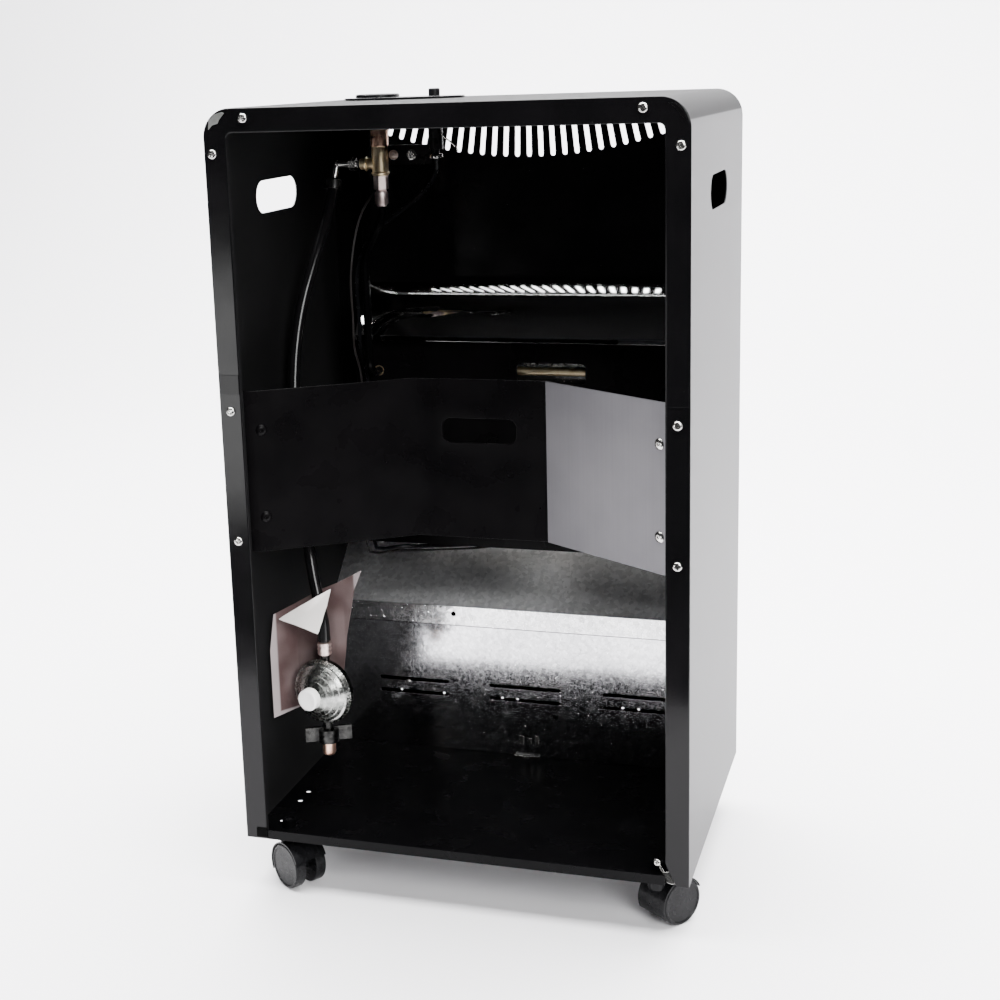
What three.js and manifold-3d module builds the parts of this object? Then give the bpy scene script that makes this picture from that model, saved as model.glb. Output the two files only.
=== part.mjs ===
// Portable gas cabinet heater with its rear cover off: a folded steel cabinet on four twin-wheel
// castors, with the ceramic burner behind the front grille, the gas valve and igniter under the top,
// and the hose with its regulator hanging inside. Millimetres, +Z up, the front faces -Y, and the
// origin is on the floor under the middle of the cabinet.
import * as THREE from "three";
import { mergeVertices } from "three/addons/utils/BufferGeometryUtils.js";
import Module from "manifold-3d";

const wasm = await Module();
wasm.setup();

// ---- Driving dimensions -------------------------------------------------------------------

const GAP = 0.3; // clearance between pieces that touch
const SHEET = 1.2; // steel sheet of the cabinet
const CUT_PAST = 1; // how far a cutting shape runs past what it cuts
const HOLE_ROOM = 3; // on the diameter, of a hole over the shaft, pipe or knob in it

const CABINET_WIDTH = 420;
const CABINET_DEPTH = 306;
const CABINET_HEIGHT = 676;
const CABINET_CORNER_RADIUS = 25;

const REAR_FLANGE_WIDTH = 21; // the rim that the rear cover screws to
const REAR_FLANGE_LIP = 5;
const REAR_FLANGE_RADIUS = 5;
const CORNER_NOTCH_WIDTH = 10;
const CORNER_NOTCH_HEIGHT = 20;
const BASE_LIP = 9;
const BASE_HOLE_DIAMETER = 5;
const BASE_HOLE_INSET = 20;
const BASE_HOLE_SETBACKS = [39, 85, 107]; // from the rear face

const HANDLE_LENGTH = 98;
const HANDLE_HEIGHT = 30;
const HANDLE_DROP = 84; // from the top to the middle of the hand hole

const KICK_PANEL_HEIGHT = 225;
const KICK_SLOT_LENGTH = 52;
const KICK_SLOT_HEIGHT = 5;
const KICK_SLOT_PITCH = 66;
const KICK_SLOT_ROW_PITCH = 16;
const KICK_SLOTS_PER_ROW = 5;
const KICK_SLOT_ROWS = 4;
const KICK_SLOT_FLOOR = 40;

const GRILLE_SLOTS = 25;
const GRILLE_SLOT_WIDTH = 5;
const GRILLE_PITCH = 12.15;
const GRILLE_ARC_RADIUS = 470; // the arc that the lower slot ends follow
const GRILLE_LOW_DROP = 61; // from the top to the lowest slot end
const GRILLE_TOP_DROP = 17;
const FASCIA_RETURN_INSET = 34;
const FASCIA_RETURN_DEPTH = 13;

const OPENING_WIDTH = 304; // the radiant opening in the fascia
const OPENING_FLOOR = 246;
const OPENING_HEIGHT = 190;
const OPENING_RADIUS = 10;

const PARTITION_SETBACK = 62; // from the front face
const PARTITION_HEIGHT = 139;
const PARTITION_SLOT_LENGTH = 77;
const PARTITION_SLOT_HEIGHT = 4;
const PARTITION_SLOT_PITCH = 120;
const PARTITION_SLOT_LEVELS = [62, 76];
const DEFLECTOR_STRIP = 21;
const DEFLECTOR_RISE = 53;
const DEFLECTOR_HOLE_DIAMETER = 5;
const DEFLECTOR_HOLE_INSET = 135; // from the outer left side
const DEFLECTOR_HOLE_DROP = 8.5; // from the fold

const CROSS_PANEL_FLOOR = 277;
const CROSS_PANEL_HEIGHT = 150;
const CROSS_PANEL_CENTRE_WIDTH = 122;
const CROSS_PANEL_RECESS = 103; // from the rear face to the centre panel
const CROSS_PANEL_TAB_RECESS = 20; // from the rear face to the tabs
const CROSS_PANEL_TAB_WIDTH = 24; // from the outer side to the wing
const CROSS_PANEL_LAP = 14; // of the side plate over the centre's own tab
const CROSS_PANEL_SHEET = 1.5;
const HAND_SLOT_WIDTH = 70;
const HAND_SLOT_HEIGHT = 23;
const HAND_SLOT_DROP = 48; // from the panel's top edge to the middle of the slot

const BURNER_BOX_WIDTH = 340;
const BURNER_BOX_FLOOR = 226;
const BURNER_BOX_TOP = 440;
const BACK_WINDOW_WIDTH = 69;
const BACK_WINDOW_HEIGHT = 21;
const BACK_WINDOW_OFFSET = -33.5; // across the cabinet
const BACK_WINDOW_DROP = 32.5; // from the box's top
const HOOD_WIDTH = 330;
const HOOD_PITCH = 34.5; // degrees, slope of the hood's flat part
const HOOD_FLAT = 18;
const HOOD_FREE_EDGE_SETBACK = 28; // from the front face
const HOOD_RISE = 52.6; // above the burner box
const HOOD_LOWER_SETBACK = 77;
const HOOD_REAR_RISE = 4.8; // of the rear edge over the burner box

const PLAQUE_WIDTH = 92;
const PLAQUE_HEIGHT = 132;
const PLAQUE_THICKNESS = 12;
const PLAQUE_CORNER_RADIUS = 2;
const PLAQUE_COUNT = 3;
const PLAQUE_SPACING = 3;
const PLAQUE_SETBACK = 26; // from the front face to the glowing side
const BURNER_RIM = 4;
const BURNER_LEDGE = 6;
const PLENUM_DEPTH = 5;
const BURNER_WALL = 1.5;
const REFLECTOR_LEAD = 1; // the reflector stops this far in front of the plaques

const PILOT_LEAD = 10; // in front of the plaques
const PILOT_DROP = 18; // below the plaques
const PILOT_GAP_WIDTH = 36; // of the gap for it in the reflector
const PILOT_GAP_SETBACK = 4;
const PILOT_BRACKET_WIDTH = 28;
const PILOT_BRACKET_HEIGHT = 18;
const PILOT_BRACKET_SHEET = 2;
const PILOT_SHELF_LEAD = 4; // past the middle of the nozzle
const PILOT_NOZZLE_DIAMETER = 7;
const PILOT_NOZZLE_HEIGHT = 15;
const PILOT_PROBE_OFFSET = 9; // of the electrode and the sensor from the nozzle
const ELECTRODE_DIAMETER = 3;
const ELECTRODE_HEIGHT = 22;
const FLAME_SENSOR_DIAMETER = 4;
const FLAME_SENSOR_HEIGHT = 20;

const GUARD_SETBACK = 7;
const GUARD_FRAME_THICKNESS = 4;
const GUARD_WIRE_DIAMETER = 2.4;
const GUARD_POST_DIAMETER = 3;
const GUARD_WIRES = 9;
const GUARD_POSTS = 3;

const MANIFOLD_DIAMETER = 8;
const MANIFOLD_DROP = 33; // from the burner box's top
const MANIFOLD_INLET_DIAMETER = 11;
const NOZZLE_DIAMETER = 5;
const NOZZLE_ROOM = 2;
const NOZZLE_REACH = 1; // into the plenum
const SUPPLY_PIPE_DIAMETER = 8;
const PIPE_RUN_INSET = 64; // from the outer left side
const PIPE_RUN_SETBACK = 89; // from the front face
const SENSOR_LEAD_DIAMETER = 2.5;
const SENSOR_LEAD_OFFSET = 18; // from the supply pipe
const IGNITION_LEAD_DIAMETER = 4;
const IGNITION_LEAD_OFFSET = 11;
const LEAD_SPACING = 5; // between the leads under the burner box

const CONTROLS_SETBACK = 93; // from the front face
const KNOB_INSET = 85; // from the outer left side
const KNOB_DIAMETER = 42;
const KNOB_HEIGHT = 3.4;
const KNOB_TRAVEL = 2;
const KNOB_CHAMFER = 1;
const KNOB_TOP_WALL = 1;
const SPINDLE_DIAMETER = 6;
const BEZEL_LENGTH = 118;
const BEZEL_WIDTH = 58;
const BEZEL_THICKNESS = 2;
const BEZEL_INSET = 112;
const BUTTON_INSET = 142;
const BUTTON_DIAMETER = 11;
const BUTTON_PROUD = 9.5;
const BUTTON_TRAVEL = 5;
const BUTTON_CHAMFER = 1;
const BUTTON_ROOM = 1; // past its travel, and round it in the top sheet
const IGNITER_DIAMETER = 14;
const IGNITER_LENGTH = 54;
const IGNITER_TERMINAL_DIAMETER = 7;
const IGNITER_TERMINAL_LENGTH = 8;

const VALVE_DIAMETER = 16;
const VALVE_NECK_DIAMETER = 14;
const VALVE_NECK_LENGTH = 26;
const VALVE_LENGTH = 44;
const VALVE_BRANCH_DIAMETER = 11;
const VALVE_BRANCH_LENGTH = 12;
const VALVE_BRANCH_DROP = 59; // from the top sheet
const SENSOR_BOSS_LENGTH = 9;
const PLUNGER_DIAMETER = 10;
const PLUNGER_LENGTH = 8;
const UNION_ACROSS_FLATS = 13;
const UNION_HEIGHT = 13;
const OLIVE_DIAMETER = 13;
const OLIVE_HEIGHT = 16;
const OLIVE_SHOULDER = 3;
const OLIVE_NARROWING = 2;
const BRACKET_SHEET = 1.5;
const BRACKET_DROP = 60; // from the top sheet to the bracket's lower edge
const BRACKET_HEIGHT = 18.5;
const BRACKET_LEAD = 4; // in front of the valve's axis
const BRACKET_HOLE_DIAMETER = 6;
const BRACKET_HOLE_INSETS = [12.5, 31]; // from the valve's axis

const HOSE_DIAMETER = 11;
const NIPPLE_DIAMETER = 8;
const NIPPLE_ARM = 25;
const NIPPLE_NUT_DIAMETER = 13;
const NIPPLE_NUT_START = 4;
const NIPPLE_NUT_WIDTH = 7;
const CLAMP_WIDTH = 9;
const CLAMP_WALL = 1.6;
const CLAMP_SETBACK = 2; // from the hose's end
const CLAMP_LUG_LENGTH = 7;
const CLAMP_LUG_WIDTH = 6;
const CLAMP_LUG_INSET = 1;
const FERRULE_DIAMETER = 13;
const FERRULE_LENGTH = 12;

const REGULATOR_DIAMETER = 60;
const REGULATOR_DEPTH = 14;
const HOUSING_SHOULDER = 8;
const REGULATOR_TURN = -13; // degrees about the upright, off the rear direction
const RIM_DIAMETER = 64;
const RIM_DEPTH = 6;
const RIM_SHOULDER = 3;
const RIM_STEP = 1;
const DOME_HEIGHT = 14;
const DOME_TOP_DIAMETER = 20;
const CAP_DIAMETER = 21;
const CAP_HEIGHT = 8;
const CAP_CHAMFER = 1;
const OUTLET_DIAMETER = 9;
const OUTLET_LENGTH = 6; // between the housing and the hose's ferrule
const PORT_SETBACK = 5; // from the housing's rear face to the middle of its ports
const INLET_DIAMETER = 10;
const INLET_LENGTH = 9.7; // between the housing and the wing nut
const WING_NUT_DIAMETER = 20;
const WING_NUT_HEIGHT = 13;
const WING_NUT_SPAN = 45;
const WING_THICKNESS = 4;
const WING_RISE = 2; // of the wings over the hub
const WING_NUT_TURN = 40; // degrees, the wings' direction at rest
const SPIGOT_DIAMETER = 13;
const SPIGOT_LENGTH = 14;
const SPIGOT_NOSE_DIAMETER = 7;
const SPIGOT_NOSE_LENGTH = 4;
const TAG_THICKNESS = 1;

const CASTOR_HEIGHT = 52;
const CASTOR_INSET_X = 32;
const CASTOR_INSET_Y = 29;
const CASTOR_TRAIL = 14;
const WHEEL_DIAMETER = 43;
const WHEEL_WIDTH = 11.5;
const WHEEL_SHOULDER = 1.2;
const WHEEL_RIM_WIDTH = 4;
const WHEEL_DISH = 0.7;
const AXLE_COVER = 2; // of the wheel over the axle's end
const CASTOR_WEB = 10;
const AXLE_DIAMETER = 4;
const HOOD_WALL = 1.4;
const HOOD_ROOM = 0.7; // between the wheels and their hood
const HOOD_START = 25; // degrees from the trailing direction
const HOOD_HUB_RADIUS = 8;
const STEM_DIAMETER = 8;
const STEM_COLLAR_DIAMETER = 20;
const STEM_COLLAR_START = 14; // above the axle
const STEM_BOSS_WALL = 3;
const STEM_REACH = 9; // above the base plate
const REAR_LEFT_CASTOR_TURN = 55; // degrees, the axle's direction at rest
const REAR_RIGHT_CASTOR_TURN = 143.4; // degrees
const HALF_TURN = 180; // degrees

// ---- Places worked out from them -----------------------------------------------------------

const halfWidth = CABINET_WIDTH / 2;
const halfDepth = CABINET_DEPTH / 2;
const insideHalfWidth = halfWidth - SHEET;
const frontInside = -halfDepth + SHEET;
const topInside = CABINET_HEIGHT - SHEET;
const controlsY = -halfDepth + CONTROLS_SETBACK;
const knobX = halfWidth - KNOB_INSET;
const buttonX = halfWidth - BUTTON_INSET;
const partitionY = -halfDepth + PARTITION_SETBACK;
const boxHalfWidth = BURNER_BOX_WIDTH / 2;
const plaqueY = -halfDepth + PLAQUE_SETBACK;
const openingMiddle = OPENING_FLOOR + OPENING_HEIGHT / 2;
const plaqueRowHalf = (PLAQUE_COUNT * PLAQUE_WIDTH + (PLAQUE_COUNT - 1) * PLAQUE_SPACING) / 2;
const valveTop = topInside - GAP;
const valveBottom = valveTop - VALVE_NECK_LENGTH - VALVE_LENGTH;
const branchZ = topInside - VALVE_BRANCH_DROP;
const manifoldZ = BURNER_BOX_TOP - MANIFOLD_DROP;

// ---- Materials -----------------------------------------------------------------------------

function finish(color, roughness, metalness) {
  return new THREE.MeshStandardMaterial({ color, roughness, metalness });
}

const blackPaint = finish(0x0c0c0e, 0.28, 0.0);
const galvanised = finish(0xb9bcc0, 0.3, 1.0);
const paleSheet = finish(0xb6b6bc, 0.55, 0.4);
const brightSteel = finish(0xc9c9c6, 0.25, 1.0);
const brass = finish(0xc9a05a, 0.32, 1.0);
const copper = finish(0xc58a6c, 0.4, 1.0);
const castAlloy = finish(0x9b9d9e, 0.38, 1.0);
const ceramic = finish(0xd8cfc0, 0.85, 0.0);
const blackPlastic = finish(0x17171a, 0.5, 0.0);
const whitePlastic = finish(0xf0ede6, 0.45, 0.0);
const blackRubber = finish(0x101012, 0.6, 0.0);
const paper = finish(0xc9bfba, 0.8, 0.0);

// ---- Solids --------------------------------------------------------------------------------

// The closed solid of a geometry, with its faces turned out.
function solid(geometry) {
  const plain = geometry.index ? geometry.clone() : geometry;
  plain.deleteAttribute("normal");
  plain.deleteAttribute("uv");
  const merged = mergeVertices(plain, 1e-4);
  const vertProperties = new Float32Array(merged.attributes.position.array);
  const triVerts = new Uint32Array(merged.index.array);
  const made = new wasm.Manifold(new wasm.Mesh({ numProp: 3, vertProperties, triVerts }));
  if (made.volume() > 0) return made;
  triVerts.reverse();
  return new wasm.Manifold(new wasm.Mesh({ numProp: 3, vertProperties, triVerts }));
}

function geometryOf(body) {
  const { vertProperties, triVerts } = body.getMesh();
  const geometry = new THREE.BufferGeometry();
  geometry.setAttribute("position", new THREE.BufferAttribute(vertProperties, 3));
  geometry.setIndex(new THREE.BufferAttribute(triVerts, 1));
  return geometry;
}

function joined(first, ...others) {
  return others.reduce((whole, other) => whole.add(other), first);
}

function cut(first, ...others) {
  return others.reduce((whole, other) => whole.subtract(other), first);
}

function piece(name, body, material) {
  const mesh = new THREE.Mesh(geometryOf(body), material);
  mesh.name = name;
  return mesh;
}

function box(x0, x1, y0, y1, z0, z1) {
  const geometry = new THREE.BoxGeometry(x1 - x0, y1 - y0, z1 - z0);
  return solid(geometry.translate((x0 + x1) / 2, (y0 + y1) / 2, (z0 + z1) / 2));
}

// A round or many-sided bar between two points.
function rod(diameter, from, to, sides = 20) {
  const start = new THREE.Vector3(...from);
  const along = new THREE.Vector3(...to).sub(start);
  const geometry = new THREE.CylinderGeometry(diameter / 2, diameter / 2, along.length(), sides);
  geometry.translate(0, along.length() / 2, 0);
  const turn = new THREE.Quaternion();
  turn.setFromUnitVectors(new THREE.Vector3(0, 1, 0), along.clone().normalize());
  return solid(geometry.applyQuaternion(turn).translate(...from));
}

// A hexagon bar standing on +Z, given its width across flats.
function hexagon(acrossFlats, x, y, z0, z1) {
  return rod(acrossFlats / Math.cos(Math.PI / 6), [x, y, z0], [x, y, z1], 6);
}

// A profile of [radius, height] turned about +Z.
function turned(profile, sides = 28) {
  const points = profile.map(([radius, height]) => new THREE.Vector2(radius, height));
  return solid(new THREE.LatheGeometry(points, sides).rotateX(Math.PI / 2));
}

const AXES = {
  x: [0, 1, 0, 0, 0, 1, 1, 0, 0], // shape in Y and Z, extruded along X
  y: [1, 0, 0, 0, 0, 1, 0, -1, 0], // shape in X and Z, extruded along -Y
  z: [1, 0, 0, 0, 1, 0, 0, 0, 1], // shape in X and Y, extruded along Z
};

// A flat shape made thick along an axis, from one place on that axis to another.
function slab(shape, axis, from, to, curveSegments = 6) {
  const depth = to - from;
  const geometry = new THREE.ExtrudeGeometry(shape, { depth, bevelEnabled: false, curveSegments });
  const [a, b, c] = [0, 3, 6].map((n) => new THREE.Vector3(...AXES[axis].slice(n, n + 3)));
  geometry.applyMatrix4(new THREE.Matrix4().makeBasis(a, b, c));
  const start = axis === "y" ? to : from;
  const shift = { x: [start, 0, 0], y: [0, start, 0], z: [0, 0, start] }[axis];
  return solid(geometry.translate(...shift));
}

// A round tube along a smooth route.
function tube(points, diameter, steps, sides = 8) {
  const curve = new THREE.CatmullRomCurve3(points.map((p) => new THREE.Vector3(...p)), false);
  const section = new THREE.Shape();
  for (let side = 0; side < sides; side++) {
    const angle = (2 * Math.PI * side) / sides;
    const place = [(diameter / 2) * Math.cos(angle), (diameter / 2) * Math.sin(angle)];
    if (side === 0) section.moveTo(...place);
    else section.lineTo(...place);
  }
  return solid(new THREE.ExtrudeGeometry(section, { steps, extrudePath: curve }));
}

function rectangle(x0, x1, y0, y1) {
  const shape = new THREE.Shape();
  shape.moveTo(x0, y0);
  shape.lineTo(x1, y0);
  shape.lineTo(x1, y1);
  shape.lineTo(x0, y1);
  return shape;
}

function roundedRectangle(x0, x1, y0, y1, radius, shape = new THREE.Shape()) {
  shape.moveTo(x0 + radius, y0);
  shape.lineTo(x1 - radius, y0);
  shape.absarc(x1 - radius, y0 + radius, radius, -Math.PI / 2, 0, false);
  shape.absarc(x1 - radius, y1 - radius, radius, 0, Math.PI / 2, false);
  shape.absarc(x0 + radius, y1 - radius, radius, Math.PI / 2, Math.PI, false);
  shape.absarc(x0 + radius, y0 + radius, radius, Math.PI, 1.5 * Math.PI, false);
  return shape;
}

// A slot with round ends, between two end centres.
function slotPath(x0, y0, x1, y1, width) {
  const along = Math.atan2(y1 - y0, x1 - x0);
  const path = new THREE.Path();
  path.absarc(x1, y1, width / 2, along - Math.PI / 2, along + Math.PI / 2, false);
  path.absarc(x0, y0, width / 2, along + Math.PI / 2, along + 1.5 * Math.PI, false);
  path.closePath();
  return path;
}

// The cabinet's outline from behind: square feet and round shoulders.
function archShape(half, bottom, top, radius) {
  const shape = new THREE.Shape();
  shape.moveTo(-half, bottom);
  shape.lineTo(half, bottom);
  shape.absarc(half - radius, top - radius, radius, 0, Math.PI / 2, false);
  shape.absarc(-half + radius, top - radius, radius, Math.PI / 2, Math.PI, false);
  return shape;
}

// The outline of a folded sheet: a line of points, and its offset to the left by the thickness.
function foldedSheet(points, thickness) {
  const corners = points.map(([x, y]) => new THREE.Vector2(x, y));
  const normals = corners.slice(1).map((corner, n) => {
    const along = corner.clone().sub(corners[n]).normalize();
    return new THREE.Vector2(-along.y, along.x);
  });
  const offsets = corners.map((corner, n) => {
    const before = normals[Math.max(n - 1, 0)];
    const after = normals[Math.min(n, normals.length - 1)];
    const mitre = before.clone().add(after).multiplyScalar(thickness / (1 + before.dot(after)));
    return corner.clone().add(mitre);
  });
  return new THREE.Shape([...corners, ...offsets.reverse()]);
}

// A four-sided funnel body between a front and a back rectangle, each [halfWidth, low, high].
function frustum([frontHalf, frontLow, frontHigh], [backHalf, backLow, backHigh], frontY, backY) {
  const corners = [
    [-frontHalf, frontY, frontLow],
    [frontHalf, frontY, frontLow],
    [frontHalf, frontY, frontHigh],
    [-frontHalf, frontY, frontHigh],
    [-backHalf, backY, backLow],
    [backHalf, backY, backLow],
    [backHalf, backY, backHigh],
    [-backHalf, backY, backHigh],
  ];
  const quads = [
    [0, 1, 2, 3],
    [5, 4, 7, 6],
    [4, 5, 1, 0],
    [3, 2, 6, 7],
    [1, 5, 6, 2],
    [4, 0, 3, 7],
  ];
  const geometry = new THREE.BufferGeometry();
  geometry.setAttribute("position", new THREE.Float32BufferAttribute(corners.flat(), 3));
  geometry.setIndex(quads.flatMap(([a, b, c, d]) => [a, b, c, a, c, d]));
  return solid(geometry);
}

// ---- Cabinet -------------------------------------------------------------------------------

function casingWrap() {
  const front = frontInside + GAP;
  const outline = archShape(halfWidth, 0, CABINET_HEIGHT, CABINET_CORNER_RADIUS);
  const hollow = (inset, radius) => archShape(halfWidth - inset, -CUT_PAST, CABINET_HEIGHT - inset, radius);
  const skin = cut(
    slab(outline, "y", front, halfDepth, 8),
    slab(hollow(SHEET, CABINET_CORNER_RADIUS - SHEET), "y", front - CUT_PAST, halfDepth + CUT_PAST, 8),
  );
  const flange = slab(outline, "y", halfDepth - SHEET, halfDepth, 8);
  const lipOutside = slab(
    hollow(REAR_FLANGE_WIDTH - SHEET, REAR_FLANGE_RADIUS + SHEET),
    "y",
    halfDepth - REAR_FLANGE_LIP,
    halfDepth,
  );
  const mouth = slab(
    hollow(REAR_FLANGE_WIDTH, REAR_FLANGE_RADIUS),
    "y",
    halfDepth - REAR_FLANGE_LIP - CUT_PAST,
    halfDepth + CUT_PAST,
  );
  const belowFloor = box(-halfWidth, halfWidth, -halfDepth, halfDepth, -2 * CUT_PAST, 0);
  const handleEnd = (HANDLE_LENGTH - HANDLE_HEIGHT) / 2;
  const handleZ = CABINET_HEIGHT - HANDLE_DROP;
  const handleShape = new THREE.Shape(
    slotPath(-handleEnd, handleZ, handleEnd, handleZ, HANDLE_HEIGHT).getPoints(6),
  );
  const handles = slab(handleShape, "x", -halfWidth - CUT_PAST, halfWidth + CUT_PAST);
  const notchSide = -halfWidth + REAR_FLANGE_WIDTH;
  const notch = new THREE.Shape();
  notch.moveTo(notchSide + CUT_PAST, -CUT_PAST);
  notch.lineTo(notchSide + CUT_PAST, CORNER_NOTCH_HEIGHT);
  notch.lineTo(notchSide, CORNER_NOTCH_HEIGHT);
  notch.lineTo(notchSide - CORNER_NOTCH_WIDTH, -CUT_PAST);
  const topHole = (diameter, x) =>
    rod(diameter, [x, controlsY, topInside - CUT_PAST], [x, controlsY, CABINET_HEIGHT + CUT_PAST]);
  return cut(
    joined(skin, flange, lipOutside),
    mouth,
    belowFloor,
    handles,
    slab(notch, "y", halfDepth - REAR_FLANGE_LIP - CUT_PAST, halfDepth + CUT_PAST),
    topHole(SPINDLE_DIAMETER + HOLE_ROOM, knobX),
    topHole(BUTTON_DIAMETER + BUTTON_ROOM, buttonX),
  );
}

function basePlate() {
  const half = insideHalfWidth - GAP;
  const betweenFlanges = halfWidth - REAR_FLANGE_WIDTH - GAP;
  const floor = box(-half, half, frontInside + GAP, halfDepth - REAR_FLANGE_LIP - GAP, 0, SHEET);
  const tongue = box(-betweenFlanges, betweenFlanges, 0, halfDepth, 0, SHEET);
  const lip = box(-betweenFlanges, betweenFlanges, halfDepth - SHEET, halfDepth, 0, BASE_LIP);
  const holes = BASE_HOLE_SETBACKS.map((setback) => {
    const place = [halfWidth - BASE_HOLE_INSET, halfDepth - setback];
    return rod(BASE_HOLE_DIAMETER, [...place, -CUT_PAST], [...place, SHEET + CUT_PAST], 12);
  });
  const stemHoles = castorPlaces().map(({ x, y }) =>
    rod(STEM_DIAMETER + 2 * GAP, [x, y, -CUT_PAST], [x, y, STEM_REACH + CUT_PAST], 20),
  );
  const bosses = castorPlaces().map(({ x, y }) =>
    rod(STEM_DIAMETER + 2 * STEM_BOSS_WALL, [x, y, 0], [x, y, STEM_REACH], 20),
  );
  return cut(joined(floor, tongue, lip, ...bosses), ...holes, ...stemHoles);
}

function kickPanel() {
  const sheet = rectangle(-halfWidth, halfWidth, 0, KICK_PANEL_HEIGHT - GAP / 2);
  const reach = (KICK_SLOT_LENGTH - KICK_SLOT_HEIGHT) / 2;
  for (let row = 0; row < KICK_SLOT_ROWS; row++) {
    const z = KICK_SLOT_FLOOR + row * KICK_SLOT_ROW_PITCH;
    for (let n = 0; n < KICK_SLOTS_PER_ROW; n++) {
      const x = (n - (KICK_SLOTS_PER_ROW - 1) / 2) * KICK_SLOT_PITCH;
      sheet.holes.push(slotPath(x - reach, z, x + reach, z, KICK_SLOT_HEIGHT));
    }
  }
  return slab(sheet, "y", -halfDepth, frontInside, 3);
}

function grilleSlots() {
  const fanCentre = CABINET_HEIGHT - GRILLE_LOW_DROP + GRILLE_ARC_RADIUS;
  const topZ = CABINET_HEIGHT - GRILLE_TOP_DROP;
  const slots = [];
  for (let n = 0; n < GRILLE_SLOTS; n++) {
    const x = (n - (GRILLE_SLOTS - 1) / 2) * GRILLE_PITCH;
    const lean = Math.asin(x / GRILLE_ARC_RADIUS);
    const lowZ = fanCentre - GRILLE_ARC_RADIUS * Math.cos(lean) + GRILLE_SLOT_WIDTH / 2;
    const rise = topZ - GRILLE_SLOT_WIDTH / 2 - lowZ;
    slots.push(slotPath(x, lowZ, x - rise * Math.tan(lean), lowZ + rise, GRILLE_SLOT_WIDTH));
  }
  return slots;
}

function frontFascia() {
  const low = KICK_PANEL_HEIGHT + GAP / 2;
  const sheet = archShape(halfWidth, low, CABINET_HEIGHT, CABINET_CORNER_RADIUS);
  sheet.holes.push(...grilleSlots());
  const opening = roundedRectangle(
    -OPENING_WIDTH / 2,
    OPENING_WIDTH / 2,
    OPENING_FLOOR,
    OPENING_FLOOR + OPENING_HEIGHT,
    OPENING_RADIUS,
    new THREE.Path(),
  );
  sheet.holes.push(opening);
  const returns = [-1, 1].map((side) => {
    const edge = side * (halfWidth - FASCIA_RETURN_INSET);
    const back = frontInside + FASCIA_RETURN_DEPTH;
    const high = CABINET_HEIGHT - CABINET_CORNER_RADIUS;
    return box(edge - SHEET / 2, edge + SHEET / 2, -halfDepth + SHEET / 2, back, low, high);
  });
  return joined(slab(sheet, "y", -halfDepth, frontInside, 3), ...returns);
}

function partitionPlate() {
  const half = insideHalfWidth - GAP;
  const sheet = rectangle(-half, half, SHEET + GAP, PARTITION_HEIGHT);
  const reach = (PARTITION_SLOT_LENGTH - PARTITION_SLOT_HEIGHT) / 2;
  for (const z of PARTITION_SLOT_LEVELS) {
    for (const n of [-1, 0, 1]) {
      const x = n * PARTITION_SLOT_PITCH;
      sheet.holes.push(slotPath(x - reach, z, x + reach, z, PARTITION_SLOT_HEIGHT));
    }
  }
  return slab(sheet, "y", partitionY - SHEET, partitionY, 3);
}

function deflectorPlate() {
  const half = insideHalfWidth - GAP;
  const stripTop = PARTITION_HEIGHT + GAP + DEFLECTOR_STRIP;
  const profile = foldedSheet(
    [
      [partitionY, PARTITION_HEIGHT + GAP],
      [partitionY, stripTop],
      [frontInside + GAP + SHEET, stripTop + DEFLECTOR_RISE],
    ],
    SHEET,
  );
  const hole = [halfWidth - DEFLECTOR_HOLE_INSET, stripTop - DEFLECTOR_HOLE_DROP];
  const drill = rod(
    DEFLECTOR_HOLE_DIAMETER,
    [hole[0], partitionY - SHEET - CUT_PAST, hole[1]],
    [hole[0], partitionY + CUT_PAST, hole[1]],
    12,
  );
  return cut(slab(profile, "x", -half, half), drill);
}

// ---- Cross panel ---------------------------------------------------------------------------

// The corners of the panel's rear face on the left side, from above.
function crossPanelCorners() {
  const tabY = halfDepth - CROSS_PANEL_TAB_RECESS;
  return {
    tabEnd: [insideHalfWidth - GAP, tabY],
    wingEnd: [halfWidth - CROSS_PANEL_TAB_WIDTH, tabY],
    fold: [CROSS_PANEL_CENTRE_WIDTH / 2, halfDepth - CROSS_PANEL_RECESS],
  };
}

function wingDirection() {
  const { wingEnd, fold } = crossPanelCorners();
  return new THREE.Vector2(wingEnd[0] - fold[0], wingEnd[1] - fold[1]).normalize();
}

// The black sheet: its left wing, its centre and, on the right, a short tab under the side plate.
function crossPanel() {
  const { tabEnd, wingEnd, fold } = crossPanelCorners();
  const wing = wingDirection();
  const rightFold = [-fold[0] - (CROSS_PANEL_SHEET + GAP) / wing.y, fold[1]];
  const rightTab = [
    rightFold[0] - CROSS_PANEL_LAP * wing.x,
    rightFold[1] + CROSS_PANEL_LAP * wing.y,
  ];
  const plan = foldedSheet([rightTab, rightFold, fold, wingEnd, tabEnd], -CROSS_PANEL_SHEET);
  const top = CROSS_PANEL_FLOOR + CROSS_PANEL_HEIGHT;
  const slotZ = top - HAND_SLOT_DROP;
  const slot = roundedRectangle(
    -HAND_SLOT_WIDTH / 2,
    HAND_SLOT_WIDTH / 2,
    slotZ - HAND_SLOT_HEIGHT / 2,
    slotZ + HAND_SLOT_HEIGHT / 2,
    HAND_SLOT_HEIGHT / 3,
  );
  const body = slab(plan, "z", CROSS_PANEL_FLOOR, top);
  return cut(body, slab(slot, "y", fold[1] - 2 * CROSS_PANEL_SHEET, fold[1] + CUT_PAST));
}

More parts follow.
